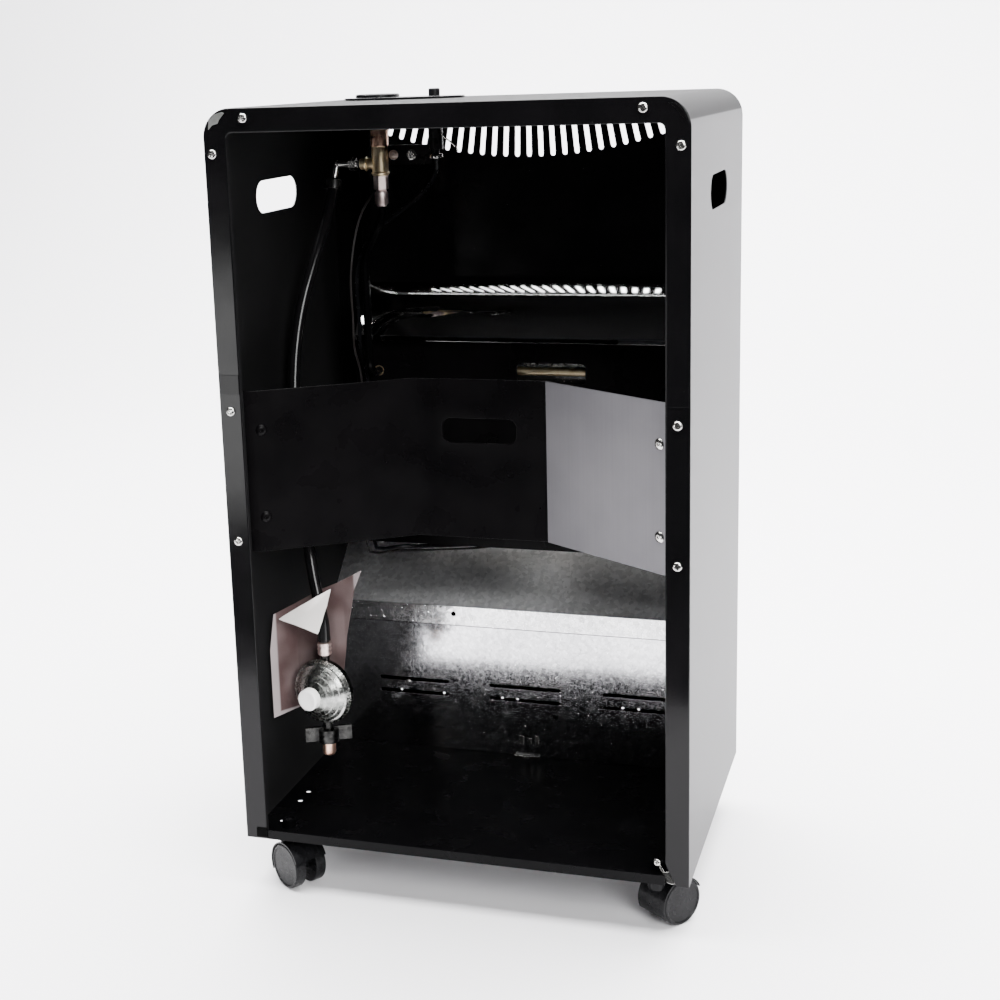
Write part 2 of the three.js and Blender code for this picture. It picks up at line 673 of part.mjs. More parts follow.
function crossPanelSidePlate() {
  const { tabEnd, wingEnd, fold } = crossPanelCorners();
  const wing = wingDirection();
  const lift = (CROSS_PANEL_SHEET * wing.x + GAP) / wing.y;
  const start = [-fold[0] - lift * wing.x, fold[1] + lift * wing.y];
  const [outer, bend] = [tabEnd, wingEnd].map(([x, y]) => [-x, y]);
  const plan = foldedSheet([outer, bend, start], -CROSS_PANEL_SHEET);
  return slab(plan, "z", CROSS_PANEL_FLOOR, CROSS_PANEL_FLOOR + CROSS_PANEL_HEIGHT);
}

// ---- Burner --------------------------------------------------------------------------------

function burnerBackPlate() {
  const front = frontInside + GAP;
  const plan = foldedSheet(
    [
      [-boxHalfWidth, front],
      [-boxHalfWidth, partitionY],
      [boxHalfWidth, partitionY],
      [boxHalfWidth, front],
    ],
    -SHEET,
  );
  const windowZ = BURNER_BOX_TOP - BACK_WINDOW_DROP;
  const window = roundedRectangle(
    BACK_WINDOW_OFFSET - BACK_WINDOW_WIDTH / 2,
    BACK_WINDOW_OFFSET + BACK_WINDOW_WIDTH / 2,
    windowZ - BACK_WINDOW_HEIGHT / 2,
    windowZ + BACK_WINDOW_HEIGHT / 2,
    BACK_WINDOW_HEIGHT / 4,
  );
  const pipeX = halfWidth - PIPE_RUN_INSET;
  const pipeHole = rod(
    SUPPLY_PIPE_DIAMETER + HOLE_ROOM,
    [pipeX, partitionY - 2 * SHEET, manifoldZ],
    [pipeX, partitionY + CUT_PAST, manifoldZ],
    16,
  );
  return cut(
    slab(plan, "z", BURNER_BOX_FLOOR, BURNER_BOX_TOP),
    slab(window, "y", partitionY - 2 * SHEET, partitionY + CUT_PAST, 3),
    pipeHole,
  );
}

// The hood's line from its free front edge, down the flat and round the curve to its rear edge.
function hoodLine() {
  const pitch = THREE.MathUtils.degToRad(HOOD_PITCH);
  const edge = [-halfDepth + HOOD_FREE_EDGE_SETBACK, BURNER_BOX_TOP + HOOD_RISE];
  const flatEnd = [edge[0] + HOOD_FLAT * Math.cos(pitch), edge[1] - HOOD_FLAT * Math.sin(pitch)];
  const rear = [-halfDepth + HOOD_LOWER_SETBACK, BURNER_BOX_TOP + GAP + HOOD_REAR_RISE];
  const chord = Math.atan2(flatEnd[1] - rear[1], rear[0] - flatEnd[0]);
  const half = chord - pitch;
  const length = Math.hypot(flatEnd[1] - rear[1], rear[0] - flatEnd[0]);
  const radius = length / (2 * Math.sin(half));
  const steps = 6;
  const line = [edge];
  for (let n = 0; n <= steps; n++) {
    const turn = (2 * half * n) / steps;
    line.push([
      flatEnd[0] + radius * (Math.sin(pitch + turn) - Math.sin(pitch)),
      flatEnd[1] - radius * (Math.cos(pitch) - Math.cos(pitch + turn)),
    ]);
  }
  return line;
}

function burnerHood() {
  const line = hoodLine();
  const rear = line[line.length - 1];
  const floor = BURNER_BOX_TOP + GAP;
  const folded = [...line, [rear[0], floor], [partitionY - SHEET, floor]];
  const half = HOOD_WIDTH / 2;
  const sheet = slab(foldedSheet(folded, -SHEET), "x", -half, half);
  const cheek = new THREE.Shape(line.map(([y, z]) => new THREE.Vector2(y, z)));
  cheek.lineTo(rear[0], floor);
  cheek.lineTo(line[0][0], floor);
  const left = slab(cheek, "x", half - SHEET, half);
  const right = slab(cheek, "x", -half, -half + SHEET);
  return joined(sheet, left, right);
}

function burnerBody() {
  const halfX = plaqueRowHalf + GAP + BURNER_RIM;
  const halfZ = PLAQUE_HEIGHT / 2 + GAP + BURNER_RIM;
  const seat = plaqueY + PLAQUE_THICKNESS + GAP;
  const back = seat + PLENUM_DEPTH + BURNER_WALL;
  const block = box(-halfX, halfX, plaqueY, back, openingMiddle - halfZ, openingMiddle + halfZ);
  const pocketX = plaqueRowHalf + GAP;
  const pocketZ = PLAQUE_HEIGHT / 2 + GAP;
  const pocket = box(
    -pocketX,
    pocketX,
    plaqueY - CUT_PAST,
    seat,
    openingMiddle - pocketZ,
    openingMiddle + pocketZ,
  );
  const plenumX = pocketX - BURNER_LEDGE;
  const plenumZ = pocketZ - BURNER_LEDGE;
  const plenum = box(
    -plenumX,
    plenumX,
    seat - CUT_PAST,
    seat + PLENUM_DEPTH,
    openingMiddle - plenumZ,
    openingMiddle + plenumZ,
  );
  const nozzleHoles = plaqueMiddles().map((x) =>
    rod(NOZZLE_DIAMETER + NOZZLE_ROOM, [x, seat, manifoldZ], [x, back + CUT_PAST, manifoldZ], 12),
  );
  return cut(block, pocket, plenum, ...nozzleHoles);
}

function plaqueMiddles() {
  const pitch = PLAQUE_WIDTH + PLAQUE_SPACING;
  return Array.from({ length: PLAQUE_COUNT }, (_, n) => (n - (PLAQUE_COUNT - 1) / 2) * pitch);
}

function plaque(middle) {
  const halfZ = PLAQUE_HEIGHT / 2;
  const outline = roundedRectangle(
    middle - PLAQUE_WIDTH / 2,
    middle + PLAQUE_WIDTH / 2,
    openingMiddle - halfZ,
    openingMiddle + halfZ,
    PLAQUE_CORNER_RADIUS,
  );
  return slab(outline, "y", plaqueY, plaqueY + PLAQUE_THICKNESS, 2);
}

// The reflector's inner faces at a given depth, as [halfWidth, low, high].
function reflectorAt(y) {
  const front = [OPENING_WIDTH / 2, OPENING_FLOOR, OPENING_FLOOR + OPENING_HEIGHT];
  const halfZ = PLAQUE_HEIGHT / 2 + GAP;
  const back = [plaqueRowHalf + GAP, openingMiddle - halfZ, openingMiddle + halfZ];
  const share = (y - frontInside) / (plaqueY - frontInside);
  return front.map((value, n) => value + (back[n] - value) * share);
}

function reflector() {
  const frontY = frontInside + GAP;
  const backY = plaqueY - REFLECTOR_LEAD + GAP;
  const grown = ([half, low, high]) => [half + SHEET, low - SHEET, high + SHEET];
  const shell = frustum(grown(reflectorAt(frontY)), grown(reflectorAt(backY)), frontY, backY);
  const [openY, endY] = [frontY - CUT_PAST, backY + CUT_PAST];
  const inside = frustum(reflectorAt(openY), reflectorAt(endY), openY, endY);
  const gapHalf = PILOT_GAP_WIDTH / 2;
  const gapFloor = OPENING_FLOOR - SHEET - CUT_PAST;
  const pilotGap = box(-gapHalf, gapHalf, frontY + PILOT_GAP_SETBACK, endY, gapFloor, openingMiddle);
  return cut(shell, inside, pilotGap);
}

function wireGuard() {
  const y = -halfDepth + GUARD_SETBACK;
  const reach = GUARD_FRAME_THICKNESS / 2;
  const [outerHalf, outerLow, outerHigh] = reflectorAt(y + reach);
  const half = outerHalf - GAP - reach;
  const low = outerLow + GAP + reach;
  const high = outerHigh - GAP - reach;
  const frame = roundedRectangle(-half - reach, half + reach, low - reach, high + reach, 2 * reach);
  frame.holes.push(
    roundedRectangle(-half + reach, half - reach, low + reach, high - reach, reach, new THREE.Path()),
  );
  const bars = [slab(frame, "y", y - reach, y + reach, 2)];
  for (let n = 1; n <= GUARD_WIRES; n++) {
    const z = low + ((high - low) * n) / (GUARD_WIRES + 1);
    bars.push(rod(GUARD_WIRE_DIAMETER, [-half, y, z], [half, y, z], 6));
  }
  for (let n = 1; n <= GUARD_POSTS; n++) {
    const x = -half + (2 * half * n) / (GUARD_POSTS + 1);
    bars.push(rod(GUARD_POST_DIAMETER, [x, y, low], [x, y, high], 6));
  }
  return joined(...bars);
}

function pilotPlace() {
  return { x: 0, y: plaqueY - PILOT_LEAD, z: openingMiddle - PLAQUE_HEIGHT / 2 - PILOT_DROP };
}

function pilotBurner() {
  const { x, y, z } = pilotPlace();
  const half = PILOT_BRACKET_WIDTH / 2;
  const back = plaqueY - GAP;
  const face = back - PILOT_BRACKET_SHEET;
  const standing = (diameter, offset, height, sides) =>
    rod(diameter, [x + offset, y, z + PILOT_BRACKET_SHEET / 2], [x + offset, y, z + height], sides);
  return joined(
    box(x - half, x + half, face, back, z, z + PILOT_BRACKET_HEIGHT),
    box(x - half, x + half, y - PILOT_SHELF_LEAD, back, z, z + PILOT_BRACKET_SHEET),
    standing(PILOT_NOZZLE_DIAMETER, 0, PILOT_NOZZLE_HEIGHT, 12),
    standing(ELECTRODE_DIAMETER, -PILOT_PROBE_OFFSET, ELECTRODE_HEIGHT, 8),
    standing(FLAME_SENSOR_DIAMETER, PILOT_PROBE_OFFSET, FLAME_SENSOR_HEIGHT, 8),
  );
}

function gasManifold() {
  const y = manifoldY();
  const inletX = halfWidth - PIPE_RUN_INSET;
  const [rightMost] = plaqueMiddles();
  const barEnd = rightMost - MANIFOLD_DIAMETER;
  const bar = rod(MANIFOLD_DIAMETER, [barEnd, y, manifoldZ], [inletX, y, manifoldZ], 12);
  const inlet = rod(
    MANIFOLD_INLET_DIAMETER,
    [inletX, y - MANIFOLD_DIAMETER / 2, manifoldZ],
    [inletX, partitionY - SHEET - GAP, manifoldZ],
    16,
  );
  const nozzleTip = plaqueY + PLAQUE_THICKNESS + GAP + PLENUM_DEPTH - NOZZLE_REACH;
  const nozzles = plaqueMiddles().map((x) =>
    rod(NOZZLE_DIAMETER, [x, nozzleTip, manifoldZ], [x, y, manifoldZ], 10),
  );
  return joined(bar, inlet, ...nozzles);
}

function manifoldY() {
  const bodyBack = plaqueY + PLAQUE_THICKNESS + GAP + PLENUM_DEPTH + BURNER_WALL;
  return bodyBack + GAP + MANIFOLD_DIAMETER / 2;
}

// ---- Valve, igniter and their leads --------------------------------------------------------

function valveBody() {
  const neckBottom = valveTop - VALVE_NECK_LENGTH;
  const foot = [knobX, controlsY, valveBottom];
  const neck = rod(VALVE_NECK_DIAMETER, foot, [knobX, controlsY, valveTop]);
  const barrel = rod(VALVE_DIAMETER, foot, [knobX, controlsY, neckBottom]);
  const branch = rod(
    VALVE_BRANCH_DIAMETER,
    [knobX, controlsY, branchZ],
    [knobX + VALVE_DIAMETER / 2 + VALVE_BRANCH_LENGTH, controlsY, branchZ],
    16,
  );
  const sensorBoss = rod(
    SUPPLY_PIPE_DIAMETER,
    [knobX, controlsY, branchZ],
    [knobX, controlsY - VALVE_DIAMETER / 2 - SENSOR_BOSS_LENGTH, branchZ],
    12,
  );
  const boreFloor = neckBottom - PLUNGER_LENGTH;
  const bore = rod(
    PLUNGER_DIAMETER + 2 * GAP,
    [knobX, controlsY, boreFloor],
    [knobX, controlsY, valveTop + CUT_PAST],
    24,
  );
  return cut(joined(neck, barrel, branch, sensorBoss), bore);
}

// The plunger sits this far above the floor of the valve's bore, to leave it room to be pushed.
const plungerFloor = valveTop - VALVE_NECK_LENGTH - PLUNGER_LENGTH + KNOB_TRAVEL + 2 * GAP;

function valvePlunger() {
  const outer = PLUNGER_DIAMETER / 2;
  const inner = SPINDLE_DIAMETER / 2 + GAP;
  const profile = [
    [inner, 0],
    [outer, 0],
    [outer, PLUNGER_LENGTH],
    [inner, PLUNGER_LENGTH],
    [inner, 0],
  ];
  return turned(profile, 24).translate([knobX, controlsY, plungerFloor]);
}

const knobFloor = CABINET_HEIGHT + KNOB_TRAVEL + GAP;

function valveSpindle() {
  const top = knobFloor + KNOB_HEIGHT - KNOB_TOP_WALL - GAP;
  return rod(SPINDLE_DIAMETER, [knobX, controlsY, plungerFloor], [knobX, controlsY, top], 20);
}

function controlKnob() {
  const outer = KNOB_DIAMETER / 2;
  const bore = SPINDLE_DIAMETER / 2 + GAP;
  const profile = [
    [bore, 0],
    [outer, 0],
    [outer, KNOB_HEIGHT - KNOB_CHAMFER],
    [outer - KNOB_CHAMFER, KNOB_HEIGHT],
    [0, KNOB_HEIGHT],
    [0, KNOB_HEIGHT - KNOB_TOP_WALL],
    [bore, KNOB_HEIGHT - KNOB_TOP_WALL],
    [bore, 0],
  ];
  return turned(profile, 36).translate([knobX, controlsY, knobFloor]);
}

function controlBezel() {
  const middle = halfWidth - BEZEL_INSET;
  const half = BEZEL_WIDTH / 2;
  const reach = BEZEL_LENGTH / 2 - half;
  const outline = new THREE.Shape();
  outline.absarc(middle + reach, controlsY, half, -Math.PI / 2, Math.PI / 2);
  outline.absarc(middle - reach, controlsY, half, Math.PI / 2, 1.5 * Math.PI);
  const knobHole = new THREE.Path();
  knobHole.absarc(knobX, controlsY, (KNOB_DIAMETER + HOLE_ROOM) / 2, 0, 2 * Math.PI);
  const buttonHole = new THREE.Path();
  buttonHole.absarc(buttonX, controlsY, (BUTTON_DIAMETER + HOLE_ROOM) / 2, 0, 2 * Math.PI);
  outline.holes.push(knobHole, buttonHole);
  const floor = CABINET_HEIGHT + GAP;
  return slab(outline, "z", floor, floor + BEZEL_THICKNESS, 14);
}

function igniterBody() {
  const top = topInside - GAP;
  const bottom = top - IGNITER_LENGTH;
  const boreFloor = CABINET_HEIGHT - 2 * (BUTTON_TRAVEL + BUTTON_ROOM);
  const barrelFoot = [buttonX, controlsY, bottom + IGNITER_TERMINAL_LENGTH];
  const barrel = rod(IGNITER_DIAMETER, barrelFoot, [buttonX, controlsY, top]);
  const terminal = rod(
    IGNITER_TERMINAL_DIAMETER,
    [buttonX, controlsY, bottom],
    [buttonX, controlsY, boreFloor],
    12,
  );
  const bore = rod(
    BUTTON_DIAMETER + 2 * GAP,
    [buttonX, controlsY, boreFloor],
    [buttonX, controlsY, top + CUT_PAST],
    24,
  );
  return cut(joined(barrel, terminal), bore);
}

function igniterButton() {
  const outer = BUTTON_DIAMETER / 2;
  const sunk = BUTTON_TRAVEL + BUTTON_ROOM;
  const length = BUTTON_PROUD + sunk;
  const profile = [
    [0, 0],
    [outer, 0],
    [outer, length - BUTTON_CHAMFER],
    [outer - BUTTON_CHAMFER, length],
    [0, length],
  ];
  return turned(profile, 24).translate([buttonX, controlsY, CABINET_HEIGHT - sunk]);
}

// A strip that ties the igniter's barrel to the valve's, cut round both.
function valveBracket() {
  const y = controlsY - BRACKET_LEAD;
  const bottom = topInside - GAP - BRACKET_DROP;
  const top = bottom + BRACKET_HEIGHT;
  const strip = box(buttonX, knobX, y - BRACKET_SHEET, y, bottom, top);
  const upright = (x, z) => new THREE.Vector3(x, controlsY, z).toArray();
  const room = (x, diameter) =>
    rod(diameter + 2 * GAP, upright(x, bottom - CUT_PAST), upright(x, top + CUT_PAST), 24);
  const holes = BRACKET_HOLE_INSETS.map((inset) => {
    const from = [knobX - inset, y - BRACKET_SHEET - CUT_PAST, bottom + BRACKET_HEIGHT / 2];
    const to = [knobX - inset, y + CUT_PAST, bottom + BRACKET_HEIGHT / 2];
    return rod(BRACKET_HOLE_DIAMETER, from, to, 12);
  });
  return cut(strip, ...holes, room(knobX, VALVE_DIAMETER), room(buttonX, IGNITER_DIAMETER));
}

function supplyUnionNut() {
  const top = valveBottom - GAP;
  return hexagon(UNION_ACROSS_FLATS, knobX, controlsY, top - UNION_HEIGHT, top);
}

function supplyOliveNut() {
  const top = valveBottom - UNION_HEIGHT - 2 * GAP;
  const outer = OLIVE_DIAMETER / 2;
  const profile = [
    [0, 0],
    [outer - OLIVE_NARROWING, 0],
    [outer, OLIVE_SHOULDER],
    [outer, OLIVE_HEIGHT - OLIVE_SHOULDER],
    [outer - OLIVE_NARROWING, OLIVE_HEIGHT],
    [0, OLIVE_HEIGHT],
  ];
  return turned(profile, 20).translate([knobX, controlsY, top - OLIVE_HEIGHT]);
}

function supplyPipe() {
  const start = valveBottom - UNION_HEIGHT - OLIVE_HEIGHT - 3 * GAP;
  const runX = halfWidth - PIPE_RUN_INSET;
  const runY = -halfDepth + PIPE_RUN_SETBACK;
  const end = partitionY - SHEET;
  const route = [
    [knobX, controlsY, start],
    [knobX, controlsY, start - 8],
    [knobX + 3, controlsY, start - 16],
    [(knobX + runX) / 2, (controlsY + runY) / 2, start - 30],
    [runX - 3, runY, start - 44],
    [runX, runY, start - 54],
    [runX, runY, (start + manifoldZ) / 2],
    [runX, runY, manifoldZ + 24],
    [runX, runY - 3, manifoldZ + 9],
    [runX, runY - 12, manifoldZ + 1],
    [runX, runY - 20, manifoldZ],
    [runX, end, manifoldZ],
  ];
  return tube(route, SUPPLY_PIPE_DIAMETER, 48, 10);
}

// The leads run down the left of the burner box, under it, and up to the pilot burner.
function leadRoute(start, runX, lift, endX) {
  const clearOfHood = -halfDepth + HOOD_LOWER_SETBACK + 6;
  const behindBox = partitionY + 5;
  const pilot = pilotPlace();
  const floor = BURNER_BOX_FLOOR - 14 + lift;
  return [
    ...start,
    [runX, clearOfHood, BURNER_BOX_TOP + 70],
    [runX, clearOfHood, BURNER_BOX_TOP + 20],
    [runX, clearOfHood, BURNER_BOX_TOP - 6],
    [runX, behindBox, BURNER_BOX_TOP - 36],
    [runX, behindBox, (BURNER_BOX_TOP + BURNER_BOX_FLOOR) / 2],
    [runX, behindBox, floor + 9],
    [runX - 2, behindBox - 2, floor + 2],
    [runX - 9, behindBox - 8, floor],
    [runX - 20, partitionY - 14, floor],
    [runX - 60, pilot.y + 20, floor],
    [endX + 24, pilot.y + 16, floor + 8],
    [endX + 2, pilot.y + 6, floor + 16 - lift],
    [endX, pilot.y, pilot.z - 8],
    [endX, pilot.y, pilot.z - GAP],
  ];
}

function thermocoupleLead() {
  const runX = halfWidth - PIPE_RUN_INSET;
  const bossEnd = controlsY - VALVE_DIAMETER / 2 - SENSOR_BOSS_LENGTH - GAP;
  const start = [
    [knobX, bossEnd, branchZ],
    [knobX, bossEnd - 6, branchZ - 1],
    [knobX + 4, bossEnd - 9, branchZ - 12],
    [runX + 8, bossEnd - 2, branchZ - 50],
  ];
  const route = leadRoute(start, runX + SENSOR_LEAD_OFFSET, 0, PILOT_PROBE_OFFSET);
  return tube(route, SENSOR_LEAD_DIAMETER, 60, 6);
}

function ignitionLead() {
  const runX = halfWidth - PIPE_RUN_INSET;
  const terminal = topInside - 2 * GAP - IGNITER_LENGTH;
  const start = [
    [buttonX, controlsY, terminal],
    [buttonX, controlsY, terminal - 12],
    [buttonX + 20, controlsY - 16, terminal - 34],
    [knobX, controlsY - 22, terminal - 60],
    [runX, controlsY - 22, terminal - 76],
  ];
  const route = leadRoute(start, runX + IGNITION_LEAD_OFFSET, LEAD_SPACING, -PILOT_PROBE_OFFSET);
  return tube(route, IGNITION_LEAD_DIAMETER, 64, 6);
}

// ---- Hose and regulator --------------------------------------------------------------------

const nippleStart = knobX + VALVE_DIAMETER / 2 + VALVE_BRANCH_LENGTH + GAP;
const nippleElbow = nippleStart + NIPPLE_ARM;

// The hose's run from the elbow, back and down to the regulator that hangs on it.
const HOSE_RUN = [
  [1.7, 2.6, -12.8],
  [2.4, 5.2, -23.2],
  [4.1, 12.4, -39.8],
  [7.9, 26, -65.8],
  [13.1, 41, -93.8],
  [18.1, 56, -123.8],
  [21.5, 69, -157.8],
  [22.5, 79, -193.8],
  [20.5, 88, -229.8],
  [15.9, 97, -267.8],
  [9.3, 106, -306.8],
  [1.5, 118, -343.8],
  [-6.9, 129, -377.8],
  [-14.3, 135.6, -403.8],
  [-17.9, 138.1, -418.3],
  [-18.7, 138.6, -428.8],
  [-18.7, 138.6, -441.1],
];
const hoseRoute = HOSE_RUN.map(([x, y, z]) => [nippleElbow + x, controlsY + y, branchZ + z]);

const hoseStart = new THREE.Vector3(...hoseRoute[0]);
const hoseEnd = new THREE.Vector3(...hoseRoute[hoseRoute.length - 1]);
const hoseStartDirection = new THREE.Vector3(...hoseRoute[1]).sub(hoseStart).normalize();

function gasHose() {
  return tube(hoseRoute, HOSE_DIAMETER, 44, 12);
}

function hoseNipple() {
  const tip = hoseStart.clone().addScaledVector(hoseStartDirection, -GAP).toArray();
  const elbow = [nippleElbow, controlsY, branchZ];
  const arm = rod(NIPPLE_DIAMETER, [nippleStart, controlsY, branchZ], elbow, 14);
  const nutX = nippleStart + NIPPLE_NUT_START;
  const nut = rod(
    NIPPLE_NUT_DIAMETER,
    [nutX, controlsY, branchZ],
    [nutX + NIPPLE_NUT_WIDTH, controlsY, branchZ],
    6,
  );
  const ball = solid(new THREE.SphereGeometry(NIPPLE_DIAMETER / 2, 14, 8).translate(...elbow));
  const barb = rod(NIPPLE_DIAMETER, elbow, tip, 14);
  return joined(arm, nut, ball, barb);
}

// A band round the hose, standing on the origin along +Z before it is placed.
function hoseClamp() {
  const inner = HOSE_DIAMETER / 2 + GAP;
  const outer = inner + CLAMP_WALL;
  const band = cut(
    rod(2 * outer, [0, 0, 0], [0, 0, CLAMP_WIDTH], 20),
    rod(2 * inner, [0, 0, -CUT_PAST], [0, 0, CLAMP_WIDTH + CUT_PAST], 20),
  );
  const lug = box(
    inner + CLAMP_WALL / 2,
    outer + CLAMP_LUG_LENGTH,
    -CLAMP_LUG_WIDTH / 2,
    CLAMP_LUG_WIDTH / 2,
    CLAMP_LUG_INSET,
    CLAMP_WIDTH - CLAMP_LUG_INSET,
  );
  return joined(band, lug);
}

function placedHoseClamp(material) {
  const mesh = piece("hose_clamp", hoseClamp(), material);
  const middle = hoseStart.clone().addScaledVector(hoseStartDirection, CLAMP_SETBACK);
  mesh.position.copy(middle);
  mesh.quaternion.setFromUnitVectors(new THREE.Vector3(0, 0, 1), hoseStartDirection);
  return mesh;
}

// The regulator stands on local axes: its dome looks along +Y and its ports run along Z. The rear
// of its housing is at y 0.
const regulatorRadius = REGULATOR_DIAMETER / 2;
const portY = -PORT_SETBACK;
const regulatorTurn = THREE.MathUtils.degToRad(REGULATOR_TURN);
const regulatorPlace = new THREE.Vector3(
  hoseEnd.x + portY * Math.sin(regulatorTurn),
  hoseEnd.y - portY * Math.cos(regulatorTurn),
  hoseEnd.z - SHEET - FERRULE_LENGTH - OUTLET_LENGTH - regulatorRadius,
);

// A profile of [radius, distance] turned about the regulator's +Y.
function facingRear(profile, sides) {
  return turned(profile, sides).rotate([-90, 0, 0]);
}

function port(diameter, from, to, sides = 20) {
  return rod(diameter, [0, portY, from], [0, portY, to], sides);
}

function regulatorBody() {
  const profile = [
    [0, -REGULATOR_DEPTH],
    [regulatorRadius - HOUSING_SHOULDER, -REGULATOR_DEPTH],
    [regulatorRadius, -REGULATOR_DEPTH / 2],
    [regulatorRadius, -GAP],
    [0, -GAP],
  ];
  const outletTop = regulatorRadius + OUTLET_LENGTH + FERRULE_LENGTH / 2;
  const inletEnd = -regulatorRadius - INLET_LENGTH - WING_NUT_HEIGHT + GAP;
  return joined(
    facingRear(profile, 36),
    port(OUTLET_DIAMETER, 0, outletTop),
    port(INLET_DIAMETER, inletEnd, 0),
  );
}

function regulatorDome() {
  const outer = RIM_DIAMETER / 2;
  const profile = [
    [0, 0],
    [outer, 0],
    [outer, RIM_DEPTH],
    [outer - RIM_SHOULDER, RIM_DEPTH + RIM_STEP],
    [DOME_TOP_DIAMETER / 2, RIM_DEPTH + DOME_HEIGHT],
    [0, RIM_DEPTH + DOME_HEIGHT],
  ];
  return facingRear(profile, 48);
}

function regulatorCap() {
  const radius = CAP_DIAMETER / 2;
  const floor = RIM_DEPTH + DOME_HEIGHT + GAP;
  const profile = [
    [0, floor],
    [radius, floor],
    [radius, floor + CAP_HEIGHT - CAP_CHAMFER],
    [radius - CAP_CHAMFER, floor + CAP_HEIGHT],
    [0, floor + CAP_HEIGHT],
  ];
  return facingRear(profile, 28);
}

const wingNutTop = -regulatorRadius - INLET_LENGTH;
const wingNutFloor = wingNutTop - WING_NUT_HEIGHT;

function wingNut() {
  const hub = port(WING_NUT_DIAMETER, wingNutFloor, wingNutTop, 24);
  const reach = WING_NUT_SPAN / 2;
  const half = WING_THICKNESS / 2;
  const wings = box(-reach, reach, -half, half, wingNutFloor + WING_RISE / 2, wingNutTop + WING_RISE)
    .rotate([0, 0, WING_NUT_TURN])
    .translate([0, portY, 0]);
  const boreTop = wingNutTop + WING_RISE + CUT_PAST;
  const keepOff = port(INLET_DIAMETER + 2 * GAP, wingNutFloor - CUT_PAST, boreTop, 24);
  return cut(joined(hub, wings), keepOff);
}

// The rounded inlet that seats in the bottle's valve, held up by the wing nut.
function inletSpigot() {
  const radius = SPIGOT_DIAMETER / 2;
  const profile = [
    [0, -SPIGOT_LENGTH],
    [SPIGOT_NOSE_DIAMETER / 2, -SPIGOT_LENGTH],
    [(radius + SPIGOT_NOSE_DIAMETER / 4) / 1.5, -SPIGOT_LENGTH + SPIGOT_NOSE_LENGTH / 3],
    [radius, -SPIGOT_LENGTH + SPIGOT_NOSE_LENGTH],
    [radius, 0],
    [0, 0],
  ];
  return turned(profile, 24).translate([0, portY, wingNutFloor - GAP]);
}

function hoseFerrule() {
  const outer = FERRULE_DIAMETER / 2;
  const inner = OUTLET_DIAMETER / 2 + GAP;
  const profile = [
    [inner, 0],
    [outer, 0],
    [outer, FERRULE_LENGTH],
    [inner, FERRULE_LENGTH],
    [inner, 0],
  ];
  return turned(profile, 24).translate([0, portY, regulatorRadius + OUTLET_LENGTH]);
}

// The folded tag that hangs behind the regulator: its plan, and its outline seen along its own Y.
const tagBack = -REGULATOR_DEPTH - GAP;
const TAG_PLAN = [
  [46.7, 19],
  [36, -11],
  [22, tagBack],
  [-18, tagBack],
  [-48, -2],
];
const TAG_OUTLINE = [
  [44.7, 75],
  [46.7, 40],
  [46.7, -29],
  [36.8, -26],
  [-8, -6],
  [-13.3, 11],
  [-20.5, 55],
  [-35.2, 104],
  [-47.5, 126],
  [-9.2, 105],
  [12, 95],
];

function infoTag() {
  const heights = TAG_OUTLINE.map(([, z]) => z);
  const sheet = slab(
    foldedSheet(TAG_PLAN, TAG_THICKNESS),
    "z",
    Math.min(...heights) - CUT_PAST,
    Math.max(...heights) + CUT_PAST,
  );
  const outline = new THREE.Shape(TAG_OUTLINE.map(([x, z]) => new THREE.Vector2(x, z)));
  const reach = RIM_DIAMETER;
  return sheet.intersect(slab(outline, "y", -reach, reach));
}

function regulatorGroup() {
  const group = new THREE.Group();
  group.position.copy(regulatorPlace);
  group.rotation.z = regulatorTurn;
  group.add(
    piece("regulator_body", regulatorBody(), castAlloy),
    piece("regulator_dome", regulatorDome(), brightSteel),
    piece("regulator_cap", regulatorCap(), whitePlastic),
    piece("wing_nut", wingNut(), castAlloy),
    piece("inlet_spigot", inletSpigot(), copper),
    piece("hose_ferrule", hoseFerrule(), copper),
    piece("info_tag", infoTag(), paper),
  );
  return group;
}

// ---- Castors -------------------------------------------------------------------------------

function castorPlaces() {
  const x = halfWidth - CASTOR_INSET_X;
  const y = halfDepth - CASTOR_INSET_Y;
  return [
    { name: "castor_rear_left", x, y, turn: REAR_LEFT_CASTOR_TURN },
    { name: "castor_rear_right", x: -x, y, turn: REAR_RIGHT_CASTOR_TURN },
    { name: "castor_front_left", x, y: -y, turn: REAR_RIGHT_CASTOR_TURN + HALF_TURN },
    { name: "castor_front_right", x: -x, y: -y, turn: REAR_LEFT_CASTOR_TURN + HALF_TURN },
  ];
}

const wheelRadius = WHEEL_DIAMETER / 2;

